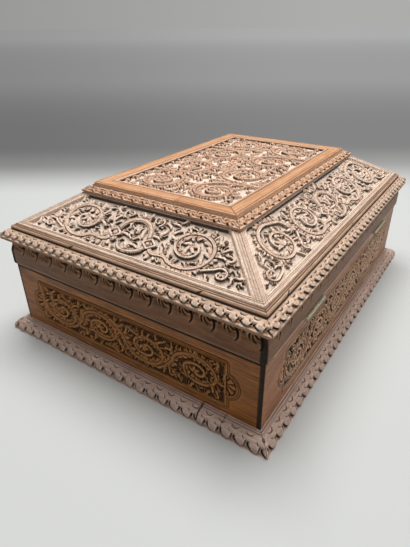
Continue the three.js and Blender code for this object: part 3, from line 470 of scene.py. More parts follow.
    def layers(self, x, y):
        """Every finished layer at any places, between the raster's points."""
        col = np.clip((x - self.low[0]) / RASTER, 0, len(self.x) - 1.001)
        row = np.clip((y - self.low[1]) / RASTER, 0, len(self.y) - 1.001)
        c, r = col.astype(int), row.astype(int)
        fc, fr = col - c, row - r
        found = {}
        for key in ("depth", "hollow", "crest", "ground"):
            layer = getattr(self, key)
            low = layer[r, c] * (1 - fc) + layer[r, c + 1] * fc
            high = layer[r + 1, c] * (1 - fc) + layer[r + 1, c + 1] * fc
            found[key] = low * (1 - fr) + high * fr
        return found


# What is carved on each kind of piece. Places are millimetres along the piece from its middle and up from its
# foot, and angles are radians, except in arc and volute.


def side_relief(kind, side, height, beyond=0):
    """The raster for one side, which may run on past the ends of the wall."""
    sink, seed = CUTTING[kind]
    reach = side.run + beyond
    return Relief((-reach, 0), (reach, height), sink, side.seed + seed)


def clasp(relief, x, y):
    """An open lozenge that holds two straps together."""
    outline = resampled([(x - 6, y), (x, y + 4.2), (x + 6, y), (x, y - 4.2), (x - 6, y)], STRAP_STEP)
    relief.ridge(outline, np.full(len(outline), 0.9), crown=0.1)


def strap(relief, points, first, last):
    """A flat strap with an incised line inside each edge."""
    points = resampled(points, STRAP_STEP)
    relief.ridge(points, np.linspace(first, last, len(points)), crown=0.05, line=0.9)


def from_hip(relief, side, foot_inset, fall):
    return (side.run - foot_inset - relief.up / fall - np.abs(relief.along)) * fall / math.hypot(1, fall)


def sink_slope(side, foot_inset, fall, top):
    """A slope's ground, inside the width of the reeds along its edges."""
    relief = side_relief("slope", side, top)
    inside = np.minimum(from_hip(relief, side, foot_inset, fall) - HIP_MARGIN, relief.up - FOOT_MARGIN)
    relief.sunk(np.minimum(inside, top - HEAD_MARGIN - relief.up))
    return relief


def reed_slope(relief, side, foot_inset, fall, top):
    """Reeds along the foot, the head and both hips of a slope."""
    relief.cleared()
    hip = from_hip(relief, side, foot_inset, fall)
    relief.reeds(relief.up - 0.2, FOOT_REEDS, 1.3, 0.75)
    relief.reeds(top - 0.3 - relief.up, HEAD_REEDS, 1.3, 0.4)
    relief.reeds(hip - 0.2, HIP_REEDS, 1.7, 0.55)
    relief.finished()
    # The reeds along the hips and the foot take some of the pale ground tone: dust, and painted sheen.
    relief.at_least("ground", 0.3 * np.maximum(smooth(5.6, 5.2, hip), smooth(4.4, 4.0, relief.up)))
    relief.hollow *= 1 - 0.7 * smooth(7.2, 6.4, hip) * smooth(4.9, 5.3, hip)
    return relief


def arch(relief, middle):
    """The strapwork arch between two scrolls, with its hook, clasps and little scrolls."""
    hook = curve([(middle + 17, 18), (middle + 13, 10.5), (middle + 4, 7), (middle - 5, 7.8), (middle - 9, 13)])
    for side in (-1, 1):
        small = volute((middle + side * 14, 38.4), (5.8, 4.6), 1.2, 90 - side * 150, side, eye=0.25)
        relief.scroll(small, side, 1.5, 4, (0.5, 0.52), (0.05, 0.4))
        relief.leaf((middle + side * 13, 29), math.pi / 2 - side * 0.2, 6.5, side)
    relief.leaf((middle, 36.5), math.pi / 2, 7.5, 1)
    relief.leaf((middle + 9, 31), -math.pi / 2 - 0.5, 11, 1)
    relief.leaf((middle + 1, 8), math.pi / 2 + 0.2, 8, 1)
    strap(relief, arc((middle, 20), (15.5, 16), 202, -18), 2.3, 2.3)
    strap(relief, hook, 2.1, 1.3)
    relief.leaf((middle - 9, 13), 1.2, 5, -1)
    clasp(relief, middle - 16.5, 19.5)
    clasp(relief, middle + 18, 18)


SLOPE_SCROLL = {"eye": 0.16, "ease": 1.1}
SLOPE_TURNS = 1.6
SLOPE_STEM = 2.9
SLOPE_LEAVES = (0.42, 0.85)


def slope_scroll(relief, clasp_at, centre, hand, radii, lobe):
    """A large scroll that springs from a clasp and dips to the foot of the slope before it rises."""
    clasp_at, centre = np.array(clasp_at, float), np.array(centre, float)
    main = volute(centre, radii, SLOPE_TURNS, -90 - hand * 30, hand, **SLOPE_SCROLL)
    lead = [clasp_at, clasp_at + [hand * 4, -6.5], main[0] + [-hand * 5, 2.6]]
    relief.scroll(stemmed(lead, main), hand, SLOPE_STEM, lobe, SLOPE_LEAVES, (0.04, 0.55))


def offshoot(relief, stem, middle, radii, start, hand, width, lobe):
    """A small scroll on a stem of its own."""
    small = volute(middle, radii, 1.2, start, hand, eye=0.25)
    relief.scroll(stemmed(stem, small), hand, width, lobe, (0.6, 0.62), (0.3, 0.7))


def carve_end_slope(side, *shape):
    relief = sink_slope(side, *shape)
    for hand, middle in ((-1, -53), (1, 49)):
        stem = [(middle + hand * 9, 7.5), (middle + hand * 18, 11)]
        offshoot(relief, stem, (middle + hand * 31, 11.5), (6.3, 5.2), 90 + hand * 60, -hand, 1.9, 5)
        slope_scroll(relief, (hand * 18 - 1, 18.5), (middle, 24.5), hand, (22, 17.6), 9.5)
    arch(relief, -2)
    relief.fill_gaps(2.9, 7.5)
    return reed_slope(relief, side, *shape)


def carve_long_slope(side, *shape):
    """The scrolls of one half, their mirror images, and the arch between them."""
    relief = sink_slope(side, *shape)
    main = stemmed([(-58, 10), (-67, 17), (-71.5, 27), (-76, 36)],
                   volute((-96, 24), (21, 17.6), SLOPE_TURNS, 62, 1, **SLOPE_SCROLL))
    offshoot(relief, [(-112, 14), (-118, 8.5)], (-130, 11), (6.5, 5.2), -70, -1, 1.9, 5)
    relief.scroll(main, 1, SLOPE_STEM, 9, SLOPE_LEAVES, (0.12, 0.6))
    offshoot(relief, [(-70, 22), (-76, 16)], (-76, 10), (4.6, 4.4), 90, 1, 1.8, 4.4)
    slope_scroll(relief, (-17, 18.5), (-46, 25), -1, (19.5, 17.2), 8.6)
    relief.fill_gaps(2.7, 7.5)
    relief.mirrored(1)
    arch(relief, 0)
    relief.fill_gaps(2.7, 7.5, 60)
    return reed_slope(relief, side, *shape)


def cartouche(relief, half, foot, top):
    """Distances outside a wall's panel, a rectangle with a round lobe at each end, and from its lobes."""
    middle = (foot + top) / 2
    across, up = np.abs(relief.along) - half, np.abs(relief.up - middle) - (top - foot) / 2
    outside = np.hypot(np.maximum(across, 0), np.maximum(up, 0)) + np.minimum(np.maximum(across, up), 0)
    lobe = np.hypot(across, relief.up - middle)
    return np.minimum(outside, lobe - PANEL_LOBE), across, lobe, np.arctan2(relief.up - middle, across)


def shells(relief, across, lobe, angle):
    """A fluted shell in each lobe, behind a raised bar."""
    shell = smooth(0, 0.6, across - 1.4) * smooth(PANEL_LOBE, PANEL_LOBE - 0.6, lobe)
    flute = np.abs(np.sin(angle * 4.5 + math.pi / 2))
    height = shell * (0.45 + 0.5 * flute) * (0.55 + 0.45 * smooth(0.5, PANEL_LOBE, lobe))
    relief.level = np.maximum(relief.level * (1 - smooth(0, 0.6, across)), height)
    relief.cuts = np.where(across > 0, shell * 1.4 * (1 - flute) ** 4, relief.cuts)
    bar = 0.9 * smooth(0.9, 0.3, np.abs(across - 0.4)) * (lobe < PANEL_LOBE + 0.3)
    relief.level = np.maximum(relief.level, bar)


def keyhole_boss(relief):
    """The plain oval round the keyhole, and the hole itself."""
    bow = SEAM - KEYHOLE_DROP - WALL_FOOT
    middle = bow - 1.85
    boss = 1 - np.hypot(relief.along / BOSS[0], (relief.up - middle) / BOSS[1])
    relief.level = np.where(boss > 0, 1, relief.level * smooth(0, -0.08, boss))
    relief.cuts *= boss < 0
    slit = np.maximum(np.abs(relief.along) - 1.1, np.abs(relief.up - middle + 1.2) - 2.7)
    keyhole = np.minimum(np.hypot(relief.along, relief.up - bow) - 2.1, slit)
    relief.cuts = np.maximum(relief.cuts, 4.3 * smooth(0.15, -0.15, keyhole))


def age_seam(relief, side, from_seam, darkening, seam_highlight, shade_lifted):
    """Beside the seam of the box and its lid: on the end sides a painted shadow, with soiling and painted shade
    darkening the corners; on the long sides a pale painted highlight, which starts some way from the corners.
    The first pair is where the shadow has ended and where it is full, the second the same for the highlight, and the
    last number is how much of the soiling and shade the highlight takes away."""
    from_corner = side.run - np.abs(relief.along)
    if side.grain == "Y":
        relief.at_least("hollow", smooth(*darkening, from_seam))
        relief.at_least("hollow", CORNER_SOILING_AND_SHADE * smooth(*CORNER_REACH, from_corner))
    else:
        pale = smooth(*seam_highlight, from_seam) * smooth(*SEAM_HIGHLIGHT_ENDS, from_corner)
        relief.hollow *= 1 - shade_lifted * pale
        relief.at_least("crest", pale)


def carve_wall(side, margin, scrolls, front=False):
    """Leafy scrolls that run along the wall, first under and then over, in a cartouche."""
    foot, top = PANEL_FOOT - WALL_FOOT, PANEL_TOP - WALL_FOOT
    middle, half = (foot + top) / 2, side.run - margin
    relief = side_relief("wall", side, SEAM - WALL_FOOT)
    distance, across, lobe, angle = cartouche(relief, half, foot, top)
    relief.sunk(-distance)
    pitch = 2 * half / scrolls
    radii = np.array([pitch * 0.46, 15.4])
    for index in range(scrolls):
        hand = 1 if index % 2 == 0 else -1
        centre = np.array([-half + pitch * (index + 0.5), middle])
        main = volute(centre, radii, 1.9, 180, hand, eye=0.13, ease=0.95)
        if index:
            lead = [centre - [pitch, 0] + radii * [0.55, hand * 0.84], centre - [0.62 * pitch, -hand * 9]]
            main = stemmed(lead, main)
        relief.scroll(main, hand, 2.5, 6.8, (0.1, 0.8), (0.06, 0.5))
    relief.fill_gaps(2.3, 7)
    if front:
        keyhole_boss(relief)
    shells(relief, across, lobe, angle)
    relief.level[~relief.field] = 1
    if not front:
        relief.cuts[~relief.field] = 0
    for line, width, depth in ((0.5, 0.3, 0.7), (1.9, 0.34, 0.9), (3.4, 0.34, 0.9)):
        relief.groove(distance - line, width, depth)
    relief.finished()
    dirty = LONG_PANEL_DIRT if side.grain == "X" else END_PANEL_DIRT
    relief.at_least("hollow", dirty * smooth(0.6, 0.25, relief.level) * relief.field)
    age_seam(relief, side, SEAM - WALL_FOOT - relief.up, (SEAM_SHADOW, 0.5 * SEAM_SHADOW), (2.6, 1.8), 0)
    return relief


def leaf_run(relief, low, high, pitch, depth):
    """The leaf border of a moulding: petals that hang over its lower edge, each with a crescent cut round either
    side and a thin smile above the next gap. What lies below them is plain and darker."""
    rise = high - low
    root = low + 0.62 * rise
    hung = smooth(low + 0.6 * rise, low + 0.35 * rise, relief.up)
    relief.level *= 1 - 0.9 * hung * smooth(low - 1.3, low - 0.8, relief.up)
    relief.field |= relief.up > low - 1.2
    length = relief.x[-1] * 2
    count = max(1, round(length / pitch))
    for index in range(count + 1):
        middle = -length / 2 + index * length / count
        long = 0.62 * rise * relief.about(0.12)
        relief.lobe((middle, root), -math.pi / 2 + 0.1, long, 0.2, 0.86 * pitch, 1.0, 0.2)
        for first, last, wide in ((158, 272, 0.85), (22, -40, 0.5)):
            last *= relief.about(0.04)
            petal = arc((middle, low + 0.28 * rise), (0.4 * pitch, 0.33 * rise), first, last)
            relief.cut(petal, wide * swelling(petal, 0.02, 0.9) * relief.about(0.25), 1.3 * depth)
        relief.nick((middle + 0.1 * pitch, root), -1.2, 0.25 * rise, 0.6, 0.8, 0.8 * depth)
        gap = middle + 0.5 * pitch * relief.about(0.1)
        smile = arc((gap, low + 0.96 * rise), (0.25 * pitch, 0.2 * rise), 190, 350)
        relief.cut(smile, 0.5 * swelling(smile, 0.05, 0.9), 0.75 * depth)


def darker_foot(relief, low, share):
    """The plain run below a leaf border is made darker, and takes the tone of the sunk ground."""
    foot = smooth(low - 0.6, low - 1.6, relief.up)
    relief.at_least("hollow", share * foot)
    relief.at_least("ground", foot)
    return relief


def carve_cornice(side, low, high):
    relief = side_relief("cornice", side, high + 1, 6)
    leaf_run(relief, low, high, CORNICE_LEAF, 1.5)
    return darker_foot(relief.finished(), low, 0.3)


def carve_plinth(side, low, high, top):
    relief = side_relief("plinth", side, top + 1, 12)
    leaf_run(relief, low, high, PLINTH_LEAF, 1.35)
    relief.groove(relief.up - high - 0.5, 0.4, 0.9)
    relief.groove(relief.up - high - 2.8, 0.34, 0.8)
    return darker_foot(relief.finished(), low, 0.22)


def carve_lid_rail(side, height):
    """Leaves that hang from under the cornice, with deep cuts between them."""
    relief = side_relief("lid_rail", side, height + 1, 2)
    count = round(2 * side.run / RAIL_LEAF)
    pitch = 2 * side.run / count
    relief.level *= 1 - 0.8 * smooth(height - 12, height - 4, relief.up)
    relief.field[:] = True
    for index in range(count):
        x = -side.run + (index + 0.5) * pitch
        for turn, length in ((-2.5, 7.5), (-1.9, 9.5), (-1.3, 10), (-0.7, 8)):
            relief.lobe((x, height - 1), turn, length * relief.about(0.1), 1.3, 5.0, 1.0, 0.2)
        for turn, reach, length in ((-2.1, 3.5, 4.5), (-1.57, 4, 5.5), (-1.0, 3.5, 4.5)):
            root = (x, height - 1) + way_of(turn) * reach
            relief.nick(root, turn, length * relief.about(0.15), 1.1, 1.5, 1.5)
        crescent = arc((x + 0.5, height - 8.5), (7.2, 6.6), 68, -48)
        relief.cut(crescent, 0.9 * swelling(crescent, 0.08, 0.86), 1.7)
        for place in (-0.5, -0.36, 0.42):
            root = (x + place * pitch, height - 0.5)
            relief.nick(root, -math.pi / 2 + 0.3, 5 * relief.about(0.2), -0.5, 1.7, 1.4)
    relief.finished()
    age_seam(relief, side, relief.up, (SEAM_SHADOW, 0.7 * SEAM_SHADOW), (1.0, 0.5), 1)
    return relief


def carve_border(side, width):
    """A running stem with a leaf in each bend, between two fine grooves."""
    relief = side_relief("border", side, width)
    relief.sunk(np.minimum(relief.up - 1.7, width - 1.3 - relief.up))
    for line in (0.9, width - 0.7):
        relief.groove(relief.up - line, 0.28, 0.6)
    x = np.arange(-side.run, side.run, STRAP_STEP)
    wave = np.stack([x, width / 2 + 0.2 + 1.5 * np.sin(2 * np.pi * x / BORDER_WAVE)], 1)
    count = int(2 * side.run / BORDER_WAVE)
    for index in range(-count, count):
        bend_at = (index + 0.5) * BORDER_WAVE / 2
        up = -1 if index % 2 == 0 else 1
        root = (bend_at - 2.2, width / 2 + 0.2 - up * 0.6)
        for turn, length in ((0.2, 5.6), (0.75, 4.6), (1.35, 3.6)):
            relief.lobe(root, up * turn, length * relief.about(0.1), -up * 0.4, 2.4)
        relief.nick((bend_at + 1.7, width / 2 - up * 0.9), -up * 0.9, 3.2, up * 0.5, 1.5, 1.4)
        relief.nick((bend_at - 0.4, width / 2 + up * 0.6), up * 0.6, 2.6, -up * 0.3, 0.8, 1.2)
    relief.ridge(wave, np.full(len(wave), 0.5), 0.95)
    return relief.finished()


def carve_bead(side, width):
    """Plain, with fine grooves behind the round, a few old dents, and painted shade on its upright face."""
    relief = side_relief("bead", side, width)
    for line in (0.3, 1.5, 2.7):
        relief.groove(relief.up - width + line, 0.36, 0.9)
    for place in side.dents:
        dent = resampled([(place - 1.5, 1.2), (place + 1.5, 3.4)], STRAP_STEP)
        relief.cut(dent, np.ones(len(dent)), 0.9)
    relief.finished()
    # The upright face under the round is darkened: painted shade.
    relief.at_least("hollow", BEAD_FACE_SHADE * smooth(BEAD_FACE + 0.6, BEAD_FACE - 0.4, relief.up))
    return relief


def carve_field(half_x, half_y):
    """The top panel: dense leafy scrolls, alike in all four quarters."""
    relief = Relief((-half_x, -half_y), (half_x, half_y), FIELD_SINK, FIELD_SEED)
    beside, beyond = np.abs(relief.along), np.abs(relief.up)
    relief.sunk(np.minimum(half_x - FIELD_MARGIN - beside, half_y - FIELD_MARGIN - beyond))
    for hand, middle in ((1, -73), (-1, -25)):
        main = volute((middle, -28), (21, 21.5), 1.9, 90 - hand * 100, hand, eye=0.12, ease=0.92)
        stem = [(-49, -half_y + 1), (-49 - hand * 1.2, -43)]
        relief.scroll(stemmed(stem, main), hand, 2.6, 8, (0.3, 0.85), (0.1, 0.6))
    relief.leaf((-49, -34), math.pi / 2 + 0.2, 9, 1)
    relief.leaf((-49, -8), -math.pi / 2, 8, 1)
    relief.fill_gaps(2.5, 7)
    relief.mirrored(1)
    relief.mirrored(0)
    for turn in np.linspace(0, 2 * math.pi, 8, endpoint=False):
        relief.lobe(way_of(turn) * 1.5, turn, 8, 0.3, 4)
    relief.ridge(np.zeros((1, 2)), np.array([2.2]))
    relief.fill_gaps(2.5, 7, 80)
    relief.finished()
    # A pale rim round the panel, wear and a painted highlight, and a dark line just inside it where the ground falls
    # away, soiling and painted shade.
    rim = np.minimum(half_x - beside, half_y - beyond)
    relief.at_least("crest", smooth(1.3, 1.0, rim))
    relief.hollow *= 1.15
    relief.at_least("hollow", smooth(1.1, 1.4, rim) * smooth(2.2, 1.8, rim))
    return relief


# Pieces


def rounded(start, middle, end, count):
    """Points on a curve that leaves start and reaches end on lines through middle."""
    return [(1 - f) ** 2 * start + 2 * f * (1 - f) * middle + f * f * end for f in np.linspace(0, 1, count)]


def eased(points):
    """A section line with rounded corners. Each point is out and up, and may have the radius of its corner."""
    line = []
    for index, point in enumerate(points):
        here = np.array(point[:2], float)
        if len(point) < 3:
            line.append(here)
            continue
        before = np.array(points[index - 1][:2], float) - here
        after = np.array(points[(index + 1) % len(points)][:2], float) - here
        start = here + before / np.linalg.norm(before) * point[2]
        end = here + after / np.linalg.norm(after) * point[2]
        line += rounded(start, here, end, 5)
    return np.array(line)


def rows_of(line, carved):
    """The rows of a section, close together over its carved run: places, ways out of the wood, sharpness."""
    loop = np.vstack([line, line[:1]])
    run = measured(loop)
    steps = np.arange(GRID, carved, GRID)
    steps = steps[np.min(np.abs(steps[:, None] - run), axis=1) > 0.35 * GRID]
    across = np.union1d(run[:-1], steps)
    points = np.stack([np.interp(across, run, loop[:, axis]) for axis in (0, 1)], 1)
    ahead, behind = np.roll(points, -1, 0) - points, points - np.roll(points, 1, 0)
    ahead /= np.linalg.norm(ahead, axis=1)[:, None]
    behind /= np.linalg.norm(behind, axis=1)[:, None]
    way = ahead + behind
    way /= np.linalg.norm(way, axis=1)[:, None]
    sharp = np.clip(2.2 * (behind[:, 0] * ahead[:, 1] - behind[:, 1] * ahead[:, 0]), 0, 1)
    return points, np.stack([way[:, 1], -way[:, 0]], 1), across, sharp


def turned(side, out, along, up):
    """Places in the row's frame, in metres, of points given on a side."""
    reach = side.reach + out
    cos, sin = ((1, 0), (0, 1), (-1, 0), (0, -1))[side.turns]
    return np.stack([cos * reach - sin * along, sin * reach + cos * along, up], 1) * MM


def verdigris(places):
    """How much copper green has run from the hinges to each place."""
    x, y, z = (places / MM).T
    beyond = np.maximum(np.abs(np.abs(x) - HINGE_X) - HINGE_HALF, 0)
    return smooth(7, 1, np.sqrt(beyond**2 + (y - PIN_Y) ** 2 + 0.4 * (z - PIN_Z) ** 2))


def linked(name, data):
    piece = bpy.data.objects.new(name, data)
    bpy.context.scene.collection.objects.link(piece)
    return piece


def finish_piece(mesh, material, body, node, angle=30):
    piece = linked(mesh.name, mesh)
    mesh.materials.append(material)
    mesh.shade_smooth()
    mesh.set_sharp_from_angle(angle=math.radians(angle))
    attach(piece, body)
    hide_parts(node)


def closed(mesh):
    """Joins a folded sheet's edges, fills its ends, and turns its faces outwards."""
    bm = bmesh.new()
    bm.from_mesh(mesh)
    bmesh.ops.remove_doubles(bm, verts=bm.verts, dist=2e-6)
    bmesh.ops.dissolve_degenerate(bm, edges=bm.edges, dist=1e-6)
    bmesh.ops.holes_fill(bm, edges=[edge for edge in bm.edges if edge.is_boundary], sides=0)
    bmesh.ops.recalc_face_normals(bm, faces=bm.faces)
    bm.to_mesh(mesh)
    bm.free()


def flat_grid(name, columns, rows, size=1):
    bm = bmesh.new()
    bmesh.ops.create_grid(bm, x_segments=columns, y_segments=rows, size=size)
    mesh = bpy.data.meshes.new(name)
    bm.to_mesh(mesh)
    bm.free()
    return mesh


def grid_mesh(name, columns, rows):
    """A flat grid, and the column and row of each of its points."""
    mesh = flat_grid(name, columns, rows)
    places = np.zeros(len(mesh.vertices) * 3)
    mesh.vertices.foreach_get("co", places)
    places = (places.reshape(-1, 3)[:, :2] + 1) / 2 * (columns, rows)
    return mesh, *np.rint(places).astype(int).T


def set_layers(mesh, places, layers):
    mesh.vertices.foreach_set("co", places.ravel())
    for layer, values in layers.items():
        mesh.attributes.new(layer, "FLOAT", "POINT").data.foreach_set("value", values.astype(np.float32))


def carved_bar(node, side, section, relief, ends=(None, None), seat=(None, ()), worn=0.0):
    """A straight piece with mitred ends, whose carving is folded round its section. An end that is given is a
    break. seat is what cuts room for the fittings, and where along the piece. worn is how far the corners have
    worn round, and how dark they are made there: soiling, and painted shade."""
    line, carved = section
    cut_away, breaks = seat
    points, ways, across, sharp = rows_of(line, carved)
    length = 2 * side.run
    stations = np.linspace(0, 1, math.ceil(length / GRID) + 1)
    edges = np.array([(place + jog) / length + 0.5 for place in breaks for jog in (-0.05, 0.05)])
    stations = np.union1d(stations, edges)
    if ends != (None, None):
        share = abs((ends[1] or side.run) - (ends[0] or -side.run)) / length
        stations = np.linspace(0, 1, math.ceil(length * share / GRID) + 1)
    mesh, column, row = grid_mesh("carved_" + node, len(stations) - 1, len(points))
    row %= len(points)
    out, up = points[row].T
    share = stations[column]

    def spread(reach):
        """Where along the side each point lies once it is reach out, and how far from either end."""
        half = side.run + reach - MITRE
        first = -half if ends[0] is None else np.full_like(reach, ends[0])
        last = half if ends[1] is None else np.full_like(reach, ends[1])
        return first + (last - first) * share, share * (last - first), (1 - share) * (last - first)

    along, from_first, from_last = spread(out)
    face = across[row] <= carved
    layers = {key: np.where(face, values, 0) for key, values in relief.layers(along, across[row]).items()}
    to_end = np.minimum(from_first, from_last)
    depth = layers.pop("depth") + np.where(face, worn * np.clip(1 - to_end / 1.6, 0, 1) ** 2, 0)
    # Sharp corners of the section are pale: wear, and a painted highlight.
    layers["crest"] = np.maximum(layers["crest"], sharp[row] * (1 - layers["ground"]))
    # Darkened near the ends, where the corners are rounded, and more at the right-hand end: soiling, and painted
    # shade.
    added_soiling_and_shade = side.added_soiling_and_shade * smooth(*CORNER_REACH, from_last) * (worn > 0.5)
    if worn == 0:
        added_soiling_and_shade = np.where(face, 0, INSIDE_AGE)
    layers["hollow"] = np.maximum(np.maximum(layers["hollow"], worn * np.clip(1.5 - to_end, 0, 1)), added_soiling_and_shade)
    out, up = out - ways[row, 0] * depth, up - ways[row, 1] * depth
    if cut_away:
        out, up = cut_away(along, out, up)
    places = turned(side, out, spread(out)[0], up)
    layers["stain"] = verdigris(places)
    set_layers(mesh, places, layers)
    closed(mesh)
    return mesh


# Sections, each as its line and the length of its carved run


def wall_section():
    inner, outer, foot, top = section_box("right_wall")
    case_foot = SEAM - LOCK_CASE_DROP
    face = [(outer, foot), (outer, top, ARRIS), (LEAF_INNER + 0.05, top), (LEAF_INNER - 0.05, top)]
    inside = [(inner, top), (inner, case_foot + 0.05), (inner, case_foot - 0.05), (inner, foot)]
    return eased(face + inside), top - foot


def rail_section():
    inner, outer, foot, top = section_box("lid_rail_right")
    face = [(outer - RAIL_ROUNDING, foot), (outer, foot, RAIL_ROUNDING), (outer, top)]
    inside = [(inner, top), (inner, foot), (LEAF_INNER - 0.05, foot), (LEAF_INNER + 0.05, foot)]
    return eased(face + inside), top - foot + RAIL_ROUNDING * 0.6


def cornice_section():
    inner, outer, foot, top = section_box("cornice_right")
    band = foot + CORNICE_BAND
    curved = arc((-CORNICE_LIP, band), (outer + CORNICE_LIP, top - band), 0, 90)
    line = [(outer - ARRIS, foot), (outer, foot, ARRIS), *curved, (inner, top), (inner, foot)]
    return eased(line), CORNICE_BAND + measured(curved)[-1] + ARRIS / 2


def bead_section():
    inner, outer, foot, top = section_box("slope_bead_right")
    shoulder = np.array((outer - BEAD_ROUNDING, top - (top - foot) * 0.252))
    bow = rounded(np.array((outer, foot + BEAD_FACE)), np.array((outer, shoulder[1] - 0.55)), shoulder, 7)
    line = [(outer, foot), *bow, (inner, top), (inner, foot)]
    return eased(line), BEAD_FACE + measured(np.array(bow))[-1] + math.dist(shoulder, (inner, top))


def slope_section():
    inner, outer, foot, top = section_box("slope_right")
    edge = section_box("slope_bead_right")[3]
    inset = WALL_X - corners("top_border_right")[1][0] + 2.5
    line = [(outer, edge), (-inset, top), (inner, top), (outer - SLOPE_THICK, foot), (outer, foot)]
    return eased(line), math.dist(line[0], line[1])


def border_section():
    inner, outer, foot, top = section_box("top_border_right")
    edge = foot + 1.5
    line = [(outer, foot), (outer, edge), (inner, top), (inner, foot)]
    return eased(line), edge - foot + math.dist(line[1], line[2])


def plinth_section():
    """The plinth's section, and where its leaf border ends."""
    inner, outer, foot, top = section_box("plinth_right")
    bead_at = top - PLINTH_BEAD
    ovolo = arc((PLINTH_FILLET, PLINTH_FOOT), (outer - PLINTH_FILLET, bead_at - PLINTH_FOOT), 0, 90)
    bead = arc((PLINTH_FILLET - PLINTH_BEAD, bead_at), (PLINTH_BEAD, PLINTH_BEAD), 0, 90)
    line = [(outer, foot), *ovolo, *bead[1:], (inner, top), (inner, foot)]
    leaves = PLINTH_FOOT + measured(ovolo)[-1]
    return (eased(line), leaves + measured(bead)[-1] + 2), leaves


# Room for the fittings


def hinge_seat(along, out, up):
    """Cuts the seats of the lower leaves out of the back wall's top edge."""
    seat = (np.abs(np.abs(along) - HINGE_X) < HINGE_HALF + HINGE_ROOM) & (out > LEAF_INNER)
    return out, np.where(seat, np.minimum(up, SEAM - LEAF_ROOM), up)


def hinge_recess(along, out, up):
    """Cuts the seats of the upper leaves, and the hollows round the barrels, out of the back rail."""
    near = np.abs(np.abs(along) - HINGE_X) < HINGE_HALF + HINGE_ROOM
    up = np.where(near & (out > LEAF_INNER) & (up < LID_FOOT + LEAF_ROOM), LID_FOOT + LEAF_ROOM, up)
    pin = PIN_Y - WALL_Y
    reach = np.maximum(np.hypot(out - pin, up - PIN_Z), 0.01)
    pushed = near & (reach < BARREL_ROOM)
    rise = PIN_Z + np.sqrt(np.maximum(BARREL_ROOM**2 - (out - pin) ** 2, 0))
    return out, np.where(pushed, np.maximum(up, rise), up)


def lock_seat(along, out, up):
    """Cuts the lock's plate and case out of the front wall."""
    plate = (np.abs(along) < LOCK_PLATE_HALF + HINGE_ROOM) & (out < LOCK_PLATE_INNER)
    up = np.where(plate, np.minimum(up, SEAM - LEAF_ROOM), up)
    case = (np.abs(along) < LOCK_CASE_HALF + HINGE_ROOM) & (out < LOCK_CASE_FACE)
    return np.where(case & (up > SEAM - LOCK_CASE_DROP), LOCK_CASE_FACE, out), up


def link_seat(along, out, up):
    """Cuts the link plate's seat out of the front rail."""
    plate = (np.abs(along) < LINK_HALF + HINGE_ROOM) & (out < LINK_FACE)
    return out, np.where(plate, np.maximum(up, LID_FOOT + LEAF_ROOM), up)


def room_ends(half, *middles):
    """Where along a piece the room for a fitting begins and ends."""
    return [middle + sign * (half + HINGE_ROOM) for middle in middles for sign in (-1, 1)]


HINGE_ENDS = room_ends(HINGE_HALF, -HINGE_X, HINGE_X)
SEATS = {
    "back_wall": (hinge_seat, HINGE_ENDS),
    "lid_rail_back": (hinge_recess, HINGE_ENDS),
    "front_wall": (lock_seat, room_ends(LOCK_PLATE_HALF, 0) + room_ends(LOCK_CASE_HALF, 0)),
    "lid_rail_front": (link_seat, room_ends(LINK_HALF, 0)),
}


def wall_piece(name, woods):
    side = SIDES[name]
    node = name + "_wall"
    kind, margin, scrolls = ("end_wall", END_PANEL_MARGIN, 4)
    if side.grain == "X":
        kind, margin, scrolls = ("long_wall", LONG_PANEL_MARGIN, 6)
    relief = carve_wall(side, margin, scrolls, front=name == "front")
    mesh = carved_bar(node, side, wall_section(), relief, seat=SEATS.get(node, (None, ())), worn=WALL_WEAR)
    finish_piece(mesh, woods[kind, side.grain], "base", node)


def rail_piece(name, woods):
    side = SIDES[name]
    node = "lid_rail_" + name
    section = rail_section()
    relief = carve_lid_rail(side, section[1])
    mesh = carved_bar(node, side, section, relief, seat=SEATS.get(node, (None, ())), worn=RAIL_WEAR)
    finish_piece(mesh, woods["lid_rail", side.grain], "lid", node)


def lid_pieces(name, woods):
    """The cornice, bead, slope and border of one side of the lid."""
    side = SIDES[name]
    cornice, bead, slope, border = cornice_section(), bead_section(), slope_section(), border_section()
    line, width = slope
    fall = width / (line[0][0] - line[1][0])
    carve_slope = carve_long_slope if side.grain == "X" else carve_end_slope
    parts = (
        ("cornice", "cornice_wood", cornice, carve_cornice(side, CORNICE_BAND + ARRIS / 2, cornice[1])),
        ("slope_bead", "cornice_wood", bead, carve_bead(side, bead[1])),
        ("slope", "lid_wood", slope, carve_slope(side, -line[0][0], fall, width)),
        ("top_border", "lid_wood", border, carve_border(side, border[1])),
    )
    for part, slot, section, relief in parts:
        node = part + "_" + name
        finish_piece(carved_bar(node, side, section, relief), woods[part, side.grain], "lid", node)


def plinth_pieces(name, woods):
    """A side's plinth. The right-hand one is cracked through at two places."""
    side = SIDES[name]
    section, leaves = plinth_section()
    relief = carve_plinth(side, PLINTH_FOOT, leaves, section[1])
    spans = {"plinth_" + name: (None, None)}
    if name == "right":
        long, middle, corner = (corners("plinth_right" + part) for part in ("", "_middle", "_corner"))
        spans = {
            "plinth_right": (None, long[1][1]),
            "plinth_right_middle": (middle[0][1], middle[1][1]),
            "plinth_right_corner": (corner[0][1], None),
        }
    for node, ends in spans.items():
        mesh = carved_bar(node, side, section, relief, ends, worn=PLINTH_WEAR)
        finish_piece(mesh, woods["plinth", side.grain], "base", node)


